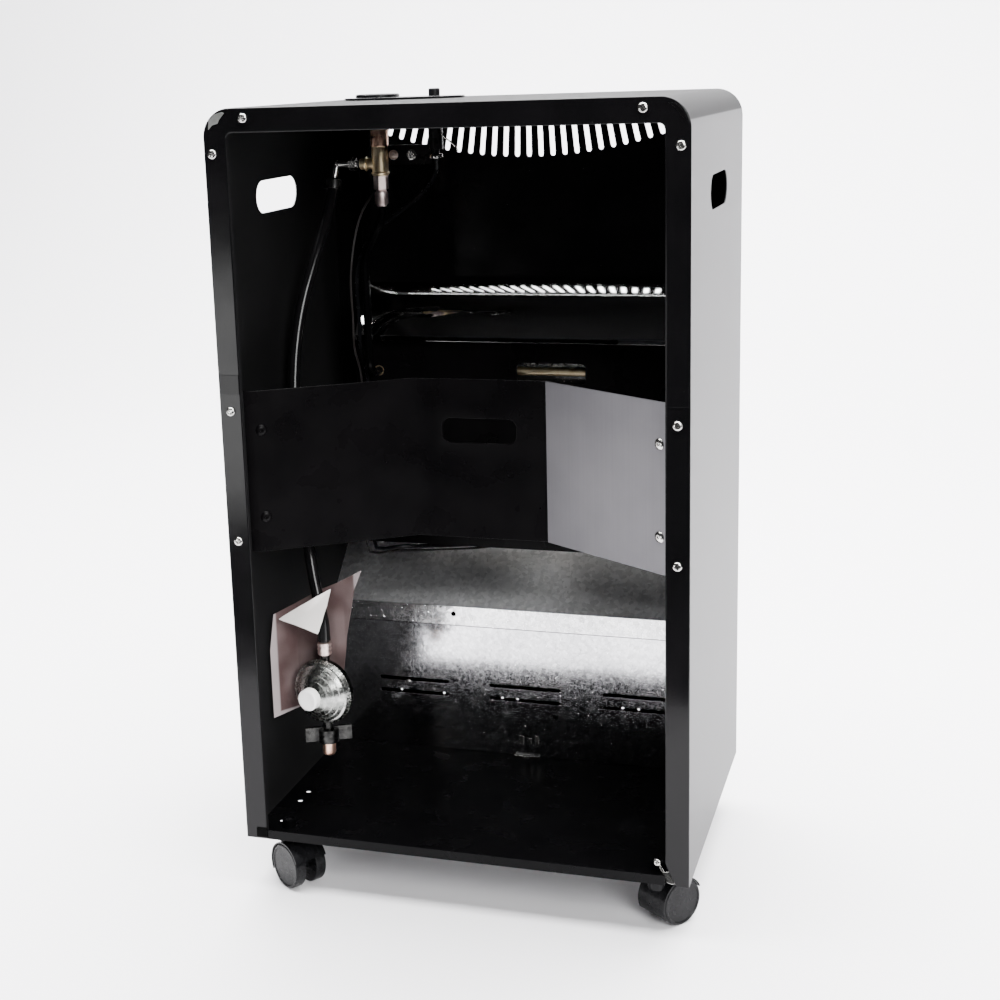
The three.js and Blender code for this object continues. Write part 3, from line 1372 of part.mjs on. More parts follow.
// Local axes of a castor: the stem on Z, the axle along X, the wheels trailing along +Y.
function castorHood() {
  const web = CASTOR_WEB / 2;
  const width = web + GAP + WHEEL_WIDTH;
  const inner = wheelRadius + HOOD_ROOM;
  const outer = inner + HOOD_WALL;
  const ring = new THREE.Shape();
  const from = THREE.MathUtils.degToRad(HOOD_START);
  const to = from + Math.PI;
  ring.absarc(CASTOR_TRAIL, wheelRadius, outer, from, to, false);
  ring.absarc(CASTOR_TRAIL, wheelRadius, inner, to, from, true);
  const cover = slab(ring, "x", -width, width, 9);
  const disc = new THREE.Shape();
  disc.absarc(CASTOR_TRAIL, wheelRadius, outer - HOOD_WALL / 2, from, to, false);
  disc.absarc(CASTOR_TRAIL, wheelRadius, HOOD_HUB_RADIUS, to, from + 2 * Math.PI, false);
  const plate = slab(disc, "x", -web, web, 9);
  const collarTop = CASTOR_HEIGHT - 2 * GAP;
  const collarFloor = wheelRadius + STEM_COLLAR_START;
  const collar = rod(STEM_COLLAR_DIAMETER, [0, 0, collarFloor], [0, 0, collarTop], 24);
  const clearWheels = rod(
    2 * inner,
    [-width - CUT_PAST, CASTOR_TRAIL, wheelRadius],
    [-web - GAP, CASTOR_TRAIL, wheelRadius],
    32,
  );
  const clearOthers = rod(
    2 * inner,
    [web + GAP, CASTOR_TRAIL, wheelRadius],
    [width + CUT_PAST, CASTOR_TRAIL, wheelRadius],
    32,
  );
  const stemTop = CASTOR_HEIGHT + STEM_REACH - SHEET;
  const stem = rod(STEM_DIAMETER, [0, 0, collarFloor], [0, 0, stemTop], 20);
  const bore = rod(
    AXLE_DIAMETER + 2 * GAP,
    [-web - CUT_PAST, CASTOR_TRAIL, wheelRadius],
    [web + CUT_PAST, CASTOR_TRAIL, wheelRadius],
    16,
  );
  const body = cut(joined(plate, collar), clearWheels, clearOthers, bore);
  return joined(body, cover, stem);
}

function castorWheel(side) {
  const start = CASTOR_WEB / 2 + 2 * GAP;
  const end = start + WHEEL_WIDTH - GAP;
  const bore = AXLE_DIAMETER / 2 + GAP;
  const profile = [
    [0, end - AXLE_COVER],
    [bore, end - AXLE_COVER],
    [bore, start],
    [wheelRadius - WHEEL_SHOULDER, start],
    [wheelRadius, start + WHEEL_SHOULDER],
    [wheelRadius, end - WHEEL_SHOULDER],
    [wheelRadius - WHEEL_SHOULDER, end],
    [wheelRadius - WHEEL_RIM_WIDTH, end],
    [wheelRadius - WHEEL_RIM_WIDTH - WHEEL_DISH, end - WHEEL_DISH],
    [0, end - WHEEL_DISH],
  ];
  return turned(profile, 28)
    .rotate([0, side * 90, 0])
    .translate([0, CASTOR_TRAIL, wheelRadius]);
}

function castorAxle() {
  const reach = CASTOR_WEB / 2 + WHEEL_WIDTH - AXLE_COVER - GAP;
  return rod(
    AXLE_DIAMETER,
    [-reach, CASTOR_TRAIL, wheelRadius],
    [reach, CASTOR_TRAIL, wheelRadius],
    16,
  );
}

function castor({ name, x, y, turn }) {
  const group = new THREE.Group();
  group.position.set(x, y, 0);
  group.rotation.z = THREE.MathUtils.degToRad(turn);
  group.add(
    piece(name + "_hood", castorHood(), blackPlastic),
    piece(name + "_axle", castorAxle(), brightSteel),
    piece(name + "_wheel_near", castorWheel(1), blackPlastic),
    piece(name + "_wheel_far", castorWheel(-1), blackPlastic),
  );
  return group;
}

// ---- The whole heater ----------------------------------------------------------------------

const cabinet = new THREE.Group();
cabinet.position.z = CASTOR_HEIGHT;
cabinet.add(
  piece("casing_wrap", casingWrap(), blackPaint),
  piece("base_plate", basePlate(), blackPaint),
  piece("front_fascia", frontFascia(), blackPaint),
  piece("kick_panel", kickPanel(), blackPaint),
  piece("partition_plate", partitionPlate(), galvanised),
  piece("deflector_plate", deflectorPlate(), galvanised),
  piece("cross_panel", crossPanel(), blackPaint),
  piece("cross_panel_side_plate", crossPanelSidePlate(), paleSheet),
  piece("burner_back_plate", burnerBackPlate(), blackPaint),
  piece("burner_hood", burnerHood(), blackPaint),
  piece("burner_body", burnerBody(), brightSteel),
  piece("reflector", reflector(), brightSteel),
  piece("wire_guard", wireGuard(), brightSteel),
  piece("pilot_burner", pilotBurner(), brightSteel),
  piece("gas_manifold", gasManifold(), brass),
  piece("valve_body", valveBody(), brass),
  piece("valve_plunger", valvePlunger(), brass),
  piece("valve_spindle", valveSpindle(), brass),
  piece("valve_bracket", valveBracket(), blackPaint),
  piece("supply_union_nut", supplyUnionNut(), brightSteel),
  piece("supply_olive_nut", supplyOliveNut(), copper),
  piece("supply_pipe", supplyPipe(), blackPaint),
  piece("thermocouple_lead", thermocoupleLead(), copper),
  piece("ignition_lead", ignitionLead(), blackRubber),
  piece("control_bezel", controlBezel(), blackPlastic),
  piece("control_knob", controlKnob(), blackPlastic),
  piece("igniter_body", igniterBody(), blackPlastic),
  piece("igniter_button", igniterButton(), blackPlastic),
  piece("hose_nipple", hoseNipple(), brightSteel),
  placedHoseClamp(brightSteel),
  piece("gas_hose", gasHose(), blackRubber),
  regulatorGroup(),
);
plaqueMiddles().forEach((middle, n) => {
  cabinet.add(piece("ceramic_plaque_" + (n + 1), plaque(middle), ceramic));
});

const heater = new THREE.Group();
heater.add(cabinet, ...castorPlaces().map(castor));

export default heater;
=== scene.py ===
"""Portable gas cabinet heater with its rear cover off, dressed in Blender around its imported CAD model.

Metres, +Z up, and the front faces -Y. Left and right are as seen from behind, so left is +X.
"""

import logging
import math
from collections.abc import Callable, Iterable, Iterator, Sequence
from contextlib import contextmanager
from dataclasses import dataclass
from enum import Enum
from typing import Any

import bmesh
import bpy
from mathutils import Euler, Matrix, Vector


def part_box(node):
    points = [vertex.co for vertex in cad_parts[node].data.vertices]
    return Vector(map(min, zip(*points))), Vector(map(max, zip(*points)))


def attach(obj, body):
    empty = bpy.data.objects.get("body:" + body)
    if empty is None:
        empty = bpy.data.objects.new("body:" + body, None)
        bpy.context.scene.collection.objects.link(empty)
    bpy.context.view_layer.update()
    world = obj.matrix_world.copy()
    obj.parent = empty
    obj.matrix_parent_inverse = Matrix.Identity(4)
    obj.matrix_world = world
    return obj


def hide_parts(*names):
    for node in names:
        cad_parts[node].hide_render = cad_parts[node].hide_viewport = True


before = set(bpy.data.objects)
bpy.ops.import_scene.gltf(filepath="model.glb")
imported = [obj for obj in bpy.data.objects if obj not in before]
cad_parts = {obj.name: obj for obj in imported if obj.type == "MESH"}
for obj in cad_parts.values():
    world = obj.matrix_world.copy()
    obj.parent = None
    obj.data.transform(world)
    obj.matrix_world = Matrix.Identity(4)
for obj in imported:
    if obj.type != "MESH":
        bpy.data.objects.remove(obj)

log = logging.getLogger("heater")

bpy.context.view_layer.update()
MM = 0.001
BODY_FLOOR = 0.052
CABINET = "cabinet"
GRAIN_DEPTH = 0.0004
DUST_RADIUS = 0.16
STREAK_SHAPE = (12.0, 12.0, 0.25)
Point = Sequence[float]
Profile = Sequence[tuple[float, float]]
Colour = tuple[float, float, float]
Socket = bpy.types.NodeSocket
Node = bpy.types.Node
Piece = bpy.types.Object


class Slot(Enum):
    """The record's material slots."""

    BLACK_PAINT = "black_paint"
    GALVANISED = "galvanised"
    PALE_SHEET = "pale_sheet"
    BRIGHT_STEEL = "bright_steel"
    CHROMED = "chromed"
    BRASS = "brass"
    COPPER = "copper"
    CAST_ALLOY = "cast_alloy"
    CERAMIC = "ceramic"
    BLACK_PLASTIC = "black_plastic"
    WHITE_PLASTIC = "white_plastic"
    BLACK_RUBBER = "black_rubber"
    PAPER = "paper"


class Axis(Enum):
    """A direction that a piece modelled along +Z is turned to."""

    UP = (0.0, 0.0, 1.0)
    REAR = (0.0, 1.0, 0.0)
    LEFT = (1.0, 0.0, 0.0)


# ---- Shader trees ---------------------------------------------------------------------------


class Tree:
    """Adds shader nodes to one tree and joins them."""

    def __init__(self, tree: bpy.types.NodeTree) -> None:
        """Keeps the tree that nodes are added to."""
        self.tree = tree

    def add(self, kind: str, inputs: dict[Any, Any] | None = None, **settings: Any) -> Node:
        """Adds one node.

        Args:
            kind: The node's type, without its ShaderNode prefix.
            inputs: A value or an output socket for each input, by name or number.
            **settings: The node's own properties.

        Returns:
            The new node.
        """
        node = self.tree.nodes.new("ShaderNode" + kind)
        for name, value in settings.items():
            setattr(node, name, value)
        for key, value in (inputs or {}).items():
            if isinstance(value, Socket):
                self.tree.links.new(value, node.inputs[key])
            else:
                node.inputs[key].default_value = value
        return node

    def group(self, made: bpy.types.NodeTree, inputs: dict[str, Any]) -> Socket:
        """Places a shared effect and returns its output."""
        return self.add("Group", inputs, node_tree=made).outputs[0]

    def sum(self, kind: str, first: Any, second: Any) -> Socket:
        """Returns the output of a Math node of that kind."""
        return self.add("Math", {0: first, 1: second}, operation=kind).outputs[0]

    def mix(self, share: Any, first: Any, second: Any) -> Socket:
        """Returns a colour between two, by a share from 0 to 1."""
        node = self.add("Mix", {0: share, 6: first, 7: second}, data_type="RGBA")
        return node.outputs[2]

    def spread(self, value: Any, low: float, high: float, to_low: float, to_high: float) -> Socket:
        """Returns a value whose low and high are moved to new ones, and held between them."""
        inputs = {0: value, 1: low, 2: high, 3: to_low, 4: to_high}
        return self.add("MapRange", inputs).outputs[0]


class Effects:
    """The shader node groups that several finishes share, each built once."""

    def __init__(self) -> None:
        """Builds every group."""
        self.mottle = self._group(
            "Mottle", {"Vector": None, "Scale": 40.0, "Low": 0.2, "High": 0.4}, ["Value"], self._fill_mottle
        )
        self.grain = self._group(
            "FineGrain", {"Vector": None, "Scale": 900.0, "Height": 0.1}, ["Normal"], self._fill_grain
        )
        self.dust = self._group(
            "Dust", {"Vector": None, "Scale": 300.0, "Share": 0.05}, ["Mask"], self._fill_dust
        )
        self.streaks = self._group(
            "Streaks", {"Vector": None, "Scale": 60.0, "Low": 0.2, "High": 0.4}, ["Value"], self._fill_streaks
        )

    def _group(
        self,
        name: str,
        takes: dict[str, float | None],
        gives: list[str],
        fill: Callable[[Tree, Node], list[Socket]],
    ) -> bpy.types.NodeTree:
        """Makes one node group.

        Args:
            name: The group's name.
            takes: The inputs and their usual values. None is a vector.
            gives: The outputs' names.
            fill: Adds the nodes and returns a socket for each output.

        Returns:
            The group's tree.
        """
        made = bpy.data.node_groups.new(name, "ShaderNodeTree")
        for label, value in takes.items():
            kind = "NodeSocketVector" if value is None else "NodeSocketFloat"
            socket = made.interface.new_socket(label, in_out="INPUT", socket_type=kind)
            if value is not None:
                socket.default_value = value
        for label in gives:
            kind = "NodeSocketVector" if label == "Normal" else "NodeSocketFloat"
            made.interface.new_socket(label, in_out="OUTPUT", socket_type=kind)
        entry = made.nodes.new("NodeGroupInput")
        leave = made.nodes.new("NodeGroupOutput")
        for label, socket in zip(gives, fill(Tree(made), entry)):
            made.links.new(socket, leave.inputs[label])
        return made

    @staticmethod
    def _between(tree: Tree, entry: Node, place: Socket, detail: float) -> Socket:
        """Shapes a noise to run between a group's Low and High.

        Args:
            tree: The group's tree.
            entry: The group's inputs.
            place: The coordinates that the noise follows.
            detail: The noise's detail.

        Returns:
            The value's socket.
        """
        take = entry.outputs
        noise = tree.add("TexNoise", {"Vector": place, "Scale": take["Scale"], "Detail": detail})
        shaped = tree.spread(noise.outputs[0], 0.3, 0.7, 0.0, 1.0)
        return tree.spread(shaped, 0.0, 1.0, take["Low"], take["High"])

    def _fill_mottle(self, tree: Tree, entry: Node) -> list[Socket]:
        """Fills a group with soft cloudy patches between two values."""
        return [self._between(tree, entry, entry.outputs["Vector"], 4.0)]

    @staticmethod
    def _fill_grain(tree: Tree, entry: Node) -> list[Socket]:
        """Fills a group with the fine unevenness of a sprayed, moulded or cast surface.

        Args:
            tree: The group's tree.
            entry: The group's inputs.

        Returns:
            The normal's socket.
        """
        take = entry.outputs
        noise = tree.add("TexNoise", {"Vector": take["Vector"], "Scale": take["Scale"], "Detail": 3.0})
        inputs = {"Height": noise.outputs[0], "Strength": take["Height"], "Distance": GRAIN_DEPTH}
        return [tree.add("Bump", inputs).outputs[0]]

    @staticmethod
    def _fill_dust(tree: Tree, entry: Node) -> list[Socket]:
        """Fills a group with scattered grains, thicker in some places than in others.

        Args:
            tree: The group's tree.
            entry: The group's inputs.

        Returns:
            The mask's socket.
        """
        take = entry.outputs
        cells = tree.add("TexVoronoi", {"Vector": take["Vector"], "Scale": take["Scale"]})
        grains = tree.sum("LESS_THAN", cells.outputs["Distance"], DUST_RADIUS)
        chosen = tree.add("SeparateColor", {0: cells.outputs["Color"]}).outputs[0]
        patches = tree.add("TexNoise", {"Vector": take["Vector"], "Scale": 14.0})
        thicker = tree.spread(patches.outputs[0], 0.35, 0.65, 0.1, 2.0)
        share = tree.sum("MULTIPLY", take["Share"], thicker)
        return [tree.sum("MULTIPLY", grains, tree.sum("LESS_THAN", chosen, share))]

    def _fill_streaks(self, tree: Tree, entry: Node) -> list[Socket]:
        """Fills a group with fine lines along Z, as a rolled or brushed sheet has."""
        inputs = {"Vector": entry.outputs["Vector"], "Scale": STREAK_SHAPE}
        return [self._between(tree, entry, tree.add("Mapping", inputs).outputs[0], 5.0)]


EFFECTS = Effects()


# ---- Finishes -------------------------------------------------------------------------------


@dataclass(frozen=True)
class Finish:
    """A surface: two shades that mix in soft patches, uneven gloss, grain and dust."""

    name: str
    slot: Slot
    colour: Colour
    shade: Colour
    metallic: float = 0.0
    gloss: tuple[float, float] = (0.25, 0.4)
    patches: float = 30.0
    grain: float = 1200.0
    height: float = 0.1
    dust: float = 0.0
    dust_colour: Colour = (0.4, 0.39, 0.38)
    refraction: float = 1.5

    def material(self) -> bpy.types.Material:
        """Makes this finish's material on its first use.

        Returns:
            The material.
        """
        found = bpy.data.materials.get(self.name)
        if found:
            return found
        made = bpy.data.materials.new(self.name)
        made.use_nodes = True
        made.node_tree.nodes.clear()
        tree = Tree(made.node_tree)
        place = tree.add("TexCoord").outputs["Object"]
        shader = tree.add("BsdfPrincipled", self.sockets(tree, place))
        shader.inputs["IOR"].default_value = self.refraction
        tree.add("OutputMaterial", {"Surface": shader.outputs[0]})
        return made

    def sockets(self, tree: Tree, place: Socket) -> dict[str, Any]:
        """Adds the nodes that feed the shader.

        Args:
            tree: The material's tree.
            place: The coordinates that the finish follows.

        Returns:
            A value or an output for each of the shader's sockets.
        """
        return {
            "Base Color": self.dusted(tree, place, self.tint(tree, place)),
            "Metallic": self.metallic,
            "Roughness": self.roughness(tree, place),
            "Normal": self.normal(tree, place),
        }

    def tint(self, tree: Tree, place: Socket) -> Socket:
        """Returns the colour, which drifts between the two shades."""
        inputs = {"Vector": place, "Scale": self.patches, "Low": 0.0, "High": 1.0}
        share = tree.group(EFFECTS.mottle, inputs)
        return tree.mix(share, (*self.colour, 1.0), (*self.shade, 1.0))

    def dusted(self, tree: Tree, place: Socket, colour: Socket) -> Socket:
        """Lays dust on the colour, where the finish has any.

        Args:
            tree: The material's tree.
            place: The coordinates that the finish follows.
            colour: The colour under the dust.

        Returns:
            The colour's socket.
        """
        if not self.dust:
            return colour
        mask = tree.group(EFFECTS.dust, {"Vector": place, "Scale": 420.0, "Share": self.dust})
        return tree.mix(mask, colour, (*self.dust_colour, 1.0))

    def roughness(self, tree: Tree, place: Socket) -> Socket:
        """Returns a roughness that drifts between the two glosses."""
        inputs = {"Vector": place, "Scale": self.patches * 1.7, "Low": self.gloss[0], "High": self.gloss[1]}
        return tree.group(EFFECTS.mottle, inputs)

    def normal(self, tree: Tree, place: Socket) -> Socket:
        """Returns the grain's normal."""
        inputs = {"Vector": place, "Scale": self.grain, "Height": self.height}
        return tree.group(EFFECTS.grain, inputs)


@dataclass(frozen=True)
class SpangledZinc(Finish):
    """Hot-dipped zinc: crystals of several greys, each with its own gloss and tilt."""

    crystal: float = 260.0
    shimmer: float = 0.25

    def crystals(
        self, tree: Tree, place: Socket
    ) -> tuple[Socket, Node]:
        """Adds the pattern of crystals, whose borders wander.

        Args:
            tree: The material's tree.
            place: The coordinates that the pattern follows.

        Returns:
            The coordinates with the wander, and the pattern's node.
        """
        wander = tree.add("TexNoise", {"Vector": place, "Scale": 160.0, "Detail": 3.0})
        offset = tree.add("VectorMath", {0: wander.outputs["Color"], "Scale": 0.004}, operation="SCALE")
        moved = tree.add("VectorMath", {0: place, 1: offset.outputs[0]}, operation="ADD").outputs[0]
        return moved, tree.add("TexVoronoi", {"Vector": moved, "Scale": self.crystal})

    def sockets(self, tree: Tree, place: Socket) -> dict[str, Any]:
        """Adds the nodes that feed the shader.

        Args:
            tree: The material's tree.
            place: The coordinates that the finish follows.

        Returns:
            A value or an output for each of the shader's sockets.
        """
        moved, cells = self.crystals(tree, place)
        split = tree.add("SeparateColor", {0: cells.outputs["Color"]})
        clouds = tree.add("TexNoise", {"Vector": place, "Scale": 14.0, "Detail": 5.0})
        cloud = tree.spread(clouds.outputs[0], 0.35, 0.65, 0.0, 1.0)
        speck = tree.sum("MULTIPLY", split.outputs[0], 0.6)
        share = tree.sum("ADD", speck, tree.sum("MULTIPLY", cloud, 0.4))
        colour = tree.mix(share, (*self.colour, 1.0), (*self.shade, 1.0))
        gloss = tree.spread(split.outputs[1], 0.0, 1.0, self.gloss[0], self.gloss[1])
        lean = tree.add("VectorMath", {0: cells.outputs["Color"], 1: (0.5, 0.5, 0.5)}, operation="SUBTRACT")
        inside = tree.add("VectorMath", {0: moved, 1: cells.outputs["Position"]}, operation="SUBTRACT")
        slope = tree.add("VectorMath", {0: lean.outputs[0], 1: inside.outputs[0]}, operation="DOT_PRODUCT")
        bump = tree.add("Bump", {"Height": slope.outputs["Value"], "Strength": 1.0, "Distance": self.shimmer})
        return {
            "Base Color": self.dusted(tree, place, colour),
            "Metallic": self.metallic,
            "Roughness": gloss,
            "Normal": bump.outputs[0],
        }


@dataclass(frozen=True)
class FoldedZinc(SpangledZinc):
    """Hot-dipped zinc that is bright up to a fold, and weathered above it."""

    fold: float = 0.2123
    weathered: float = 0.3

    def sockets(self, tree: Tree, place: Socket) -> dict[str, Any]:
        """Adds the nodes that feed the shader, rougher above the fold.

        Args:
            tree: The material's tree.
            place: The coordinates that the finish follows.

        Returns:
            A value or an output for each of the shader's sockets.
        """
        made = super().sockets(tree, place)
        height = tree.add("SeparateXYZ", {0: place}).outputs[2]
        above = tree.spread(height, self.fold - 0.0005, self.fold + 0.0005, 0.0, self.weathered)
        made["Roughness"] = tree.sum("ADD", made["Roughness"], above)
        return made


@dataclass(frozen=True)
class DrawnSheet(Finish):
    """Rolled sheet whose gloss runs in fine upright lines."""

    lines: float = 30.0

    def roughness(self, tree: Tree, place: Socket) -> Socket:
        """Returns a roughness that changes along fine lines."""
        inputs = {"Vector": place, "Scale": self.lines, "Low": self.gloss[0], "High": self.gloss[1]}
        return tree.group(EFFECTS.streaks, inputs)


@dataclass(frozen=True)
class CasingPaint(Finish):
    """Black paint that is polished on the rear flanges, satin outside and dull inside."""

    rear: float = 0.1527
    side: float = 0.2093
    satin: float = 0.42
    dull: float = 0.7

    def roughness(self, tree: Tree, place: Socket) -> Socket:
        """Adds the polish of the flanges and the duller sides.

        Args:
            tree: The material's tree.
            place: The coordinates that the finish follows.

        Returns:
            The roughness's socket.
        """
        polish = super().roughness(tree, place)
        along = tree.add("SeparateXYZ", {0: place}).outputs
        across = tree.sum("ABSOLUTE", along[0], 0.0)
        away = tree.spread(across, self.side - 0.0003, self.side, self.dull, self.satin)
        behind = tree.spread(along[1], self.rear - 0.0008, self.rear, 0.0, 1.0)
        kept = tree.sum("MULTIPLY", polish, behind)
        return tree.sum("ADD", kept, tree.sum("MULTIPLY", away, tree.sum("SUBTRACT", 1.0, behind)))


@dataclass(frozen=True)
class FadedPaper(Finish):
    """Coated paper with soft washes of colour, and a bare margin where it has one."""

    margin: tuple[float, float] | None = None
    bare: Colour = (0.3, 0.26, 0.26)

    def tint(self, tree: Tree, place: Socket) -> Socket:
        """Adds the washes of colour, and the margin rearward of and below two bounds.

        Args:
            tree: The material's tree.
            place: The coordinates that the finish follows.

        Returns:
            The colour's socket.
        """
        washes = tree.add("TexNoise", {"Vector": place, "Scale": 22.0, "Detail": 2.0})
        fibres = tree.add("TexNoise", {"Vector": place, "Scale": 900.0, "Detail": 2.0})
        wash = tree.spread(washes.outputs[0], 0.4, 0.6, 0.0, 0.85)
        fleck = tree.spread(fibres.outputs[0], 0.3, 0.7, 0.0, 0.15)
        body = tree.mix(tree.sum("ADD", wash, fleck), (*self.colour, 1.0), (*self.shade, 1.0))
        if self.margin is None:
            return body
        along = tree.add("SeparateXYZ", {0: place}).outputs
        outer = tree.spread(along[1], self.margin[0], self.margin[0] + 0.0015, 0.0, 1.0)
        low = tree.spread(along[2], self.margin[1], self.margin[1] + 0.0015, 1.0, 0.0)
        return tree.mix(tree.sum("MAXIMUM", outer, low), body, (*self.bare, 1.0))


class Finishes:
    """Every finish on the heater."""

    gloss_paint = Finish(
        "GlossBlackPaint", Slot.BLACK_PAINT, (0.002, 0.002, 0.0022), (0.0034, 0.0032, 0.0036),
        gloss=(0.1, 0.17), patches=18.0, grain=520.0, height=0.03, dust=0.003, dust_colour=(0.03, 0.03, 0.03),
        refraction=1.22,
    )
    casing_paint = CasingPaint(
        "CasingBlackPaint", Slot.BLACK_PAINT, (0.002, 0.002, 0.0022), (0.0034, 0.0032, 0.0036),
        gloss=(0.1, 0.17), patches=18.0, grain=520.0, height=0.03, dust=0.003, dust_colour=(0.03, 0.03, 0.03),
        refraction=1.25,
    )
    inner_paint = Finish(
        "InnerBlackPaint", Slot.BLACK_PAINT, (0.0008, 0.0008, 0.001), (0.0016, 0.0015, 0.0017),
        gloss=(0.2, 0.3), patches=22.0, grain=700.0, height=0.05, dust=0.004,
        dust_colour=(0.012, 0.012, 0.012), refraction=1.15,
    )
    panel_paint = Finish(
        "SatinBlackPaint", Slot.BLACK_PAINT, (0.0012, 0.0011, 0.0013), (0.0024, 0.0021, 0.0024),
        gloss=(0.24, 0.34), patches=16.0, grain=800.0, height=0.06, dust=0.004,
        dust_colour=(0.012, 0.012, 0.012), refraction=1.15,
    )
    dull_black = Finish(
        "MattBlackRubber", Slot.BLACK_RUBBER, (0.001, 0.001, 0.001), (0.0025, 0.0025, 0.0026),
        gloss=(0.75, 0.9), patches=60.0, grain=1500.0, height=0.1, refraction=1.1,
    )
    zinc = SpangledZinc(
        "SpangledZinc", Slot.GALVANISED, (0.5, 0.5, 0.52), (0.84, 0.84, 0.86),
        metallic=1.0, gloss=(0.1, 0.16), crystal=300.0, shimmer=0.008,
    )
    folded_zinc = FoldedZinc(
        "FoldedSpangledZinc", Slot.GALVANISED, (0.56, 0.56, 0.57), (0.94, 0.94, 0.95),
        metallic=1.0, gloss=(0.12, 0.22), crystal=260.0, shimmer=0.03,
    )
    pale_sheet = DrawnSheet(
        "PaleDrawnSheet", Slot.PALE_SHEET, (0.13, 0.127, 0.138), (0.19, 0.184, 0.196),
        metallic=0.5, gloss=(0.42, 0.55), patches=8.0, grain=900.0, height=0.05,
    )
    hood_metal = DrawnSheet(
        "PolishedHoodSheet", Slot.GALVANISED, (0.42, 0.42, 0.42), (0.5, 0.5, 0.5),
        metallic=1.0, gloss=(0.03, 0.06), patches=10.0, grain=300.0, height=0.01, lines=20.0,
    )
    bright_steel = Finish(
        "PlatedSteel", Slot.BRIGHT_STEEL, (0.4, 0.395, 0.38), (0.6, 0.59, 0.57),
        metallic=1.0, gloss=(0.16, 0.28), patches=120.0, grain=1800.0, height=0.08,
    )
    # Painted shade: plated steel darkened to near black, so the hose clamp is as dark as the shade it sits in.
    shaded_clamp_steel = Finish(
        "PaintedShadeSteel", Slot.BRIGHT_STEEL, (0.02, 0.02, 0.02), (0.06, 0.06, 0.058),
        metallic=1.0, gloss=(0.3, 0.45), patches=120.0, grain=1800.0, height=0.12,
    )
    warm_steel = Finish(
        "WarmPlatedSteel", Slot.BRIGHT_STEEL, (0.66, 0.53, 0.5), (0.86, 0.74, 0.7),
        metallic=1.0, gloss=(0.28, 0.42), patches=140.0, grain=1600.0, height=0.12,
    )
    chrome = Finish(
        "PressedChrome", Slot.CHROMED, (0.16, 0.17, 0.16), (0.46, 0.46, 0.44),
        metallic=1.0, gloss=(0.18, 0.34), patches=140.0, grain=420.0, height=0.34,
    )
    brass = Finish(
        "TurnedBrass", Slot.BRASS, (0.78, 0.6, 0.36), (0.92, 0.8, 0.56),
        metallic=1.0, gloss=(0.28, 0.44), patches=90.0, grain=1600.0, height=0.1,
    )
    copper = Finish(
        "DullCopper", Slot.COPPER, (0.66, 0.38, 0.26), (0.84, 0.58, 0.46),
        metallic=1.0, gloss=(0.26, 0.42), patches=120.0, grain=1500.0, height=0.1,
    )
    pale_copper = Finish(
        "PaleCopperAlloy", Slot.COPPER, (0.68, 0.54, 0.51), (0.86, 0.75, 0.72),
        metallic=1.0, gloss=(0.3, 0.46), patches=140.0, grain=1500.0, height=0.12,
    )
    tarnished_copper = Finish(
        "TarnishedCopper", Slot.COPPER, (0.006, 0.005, 0.005), (0.014, 0.011, 0.01),
        gloss=(0.35, 0.5), patches=120.0, grain=1500.0, height=0.1, refraction=1.3,
    )
    dark_alloy = Finish(
        "DarkCastAlloy", Slot.CAST_ALLOY, (0.012, 0.012, 0.012), (0.05, 0.05, 0.048),
        metallic=1.0, gloss=(0.22, 0.4), patches=160.0, grain=500.0, height=0.5,
    )
    cast_alloy = Finish(
        "CastZincAlloy", Slot.CAST_ALLOY, (0.2, 0.2, 0.2), (0.34, 0.34, 0.33),
        metallic=1.0, gloss=(0.32, 0.5), patches=80.0, grain=900.0, height=0.3,
    )
    ceramic = Finish(
        "BurnerCeramic", Slot.CERAMIC, (0.66, 0.6, 0.5), (0.78, 0.73, 0.64),
        gloss=(0.75, 0.95), patches=40.0, grain=1400.0, height=0.35, refraction=1.3,
    )
    black_plastic = Finish(
        "MouldedBlackPlastic", Slot.BLACK_PLASTIC, (0.003, 0.003, 0.0034), (0.006, 0.006, 0.0066),
        gloss=(0.22, 0.32), patches=60.0, grain=1500.0, height=0.1, dust=0.004, dust_colour=(0.05, 0.05, 0.05),
        refraction=1.2,
    )
    white_plastic = Finish(
        "WhitePlastic", Slot.WHITE_PLASTIC, (0.94, 0.93, 0.9), (0.97, 0.96, 0.94),
        gloss=(0.25, 0.35), patches=90.0, grain=1500.0, height=0.05,
    )
    rubber = Finish(
        "HoseRubber", Slot.BLACK_RUBBER, (0.003, 0.003, 0.0035), (0.006, 0.0056, 0.006),
        gloss=(0.12, 0.2), patches=50.0, grain=1300.0, height=0.06, dust=0.004, dust_colour=(0.04, 0.04, 0.04),
        refraction=1.3,
    )
    wire_black = Finish(
        "LeadSleeve", Slot.BLACK_RUBBER, (0.003, 0.003, 0.0035), (0.006, 0.006, 0.007),
        gloss=(0.2, 0.3), patches=80.0, grain=1500.0, height=0.06, refraction=1.2,
    )
    mauve_paper = FadedPaper(
        "MauvePaper", Slot.PAPER, (0.064, 0.038, 0.037), (0.13, 0.096, 0.093),
        gloss=(0.4, 0.55), grain=1100.0, height=0.05, refraction=1.3, margin=(0.0838, 0.1525),
    )
    white_paper = FadedPaper(
        "WhitePaper", Slot.PAPER, (0.78, 0.75, 0.72), (0.68, 0.64, 0.61),
        gloss=(0.4, 0.5), grain=1100.0, height=0.05,
    )


# ---- Modelling ------------------------------------------------------------------------------


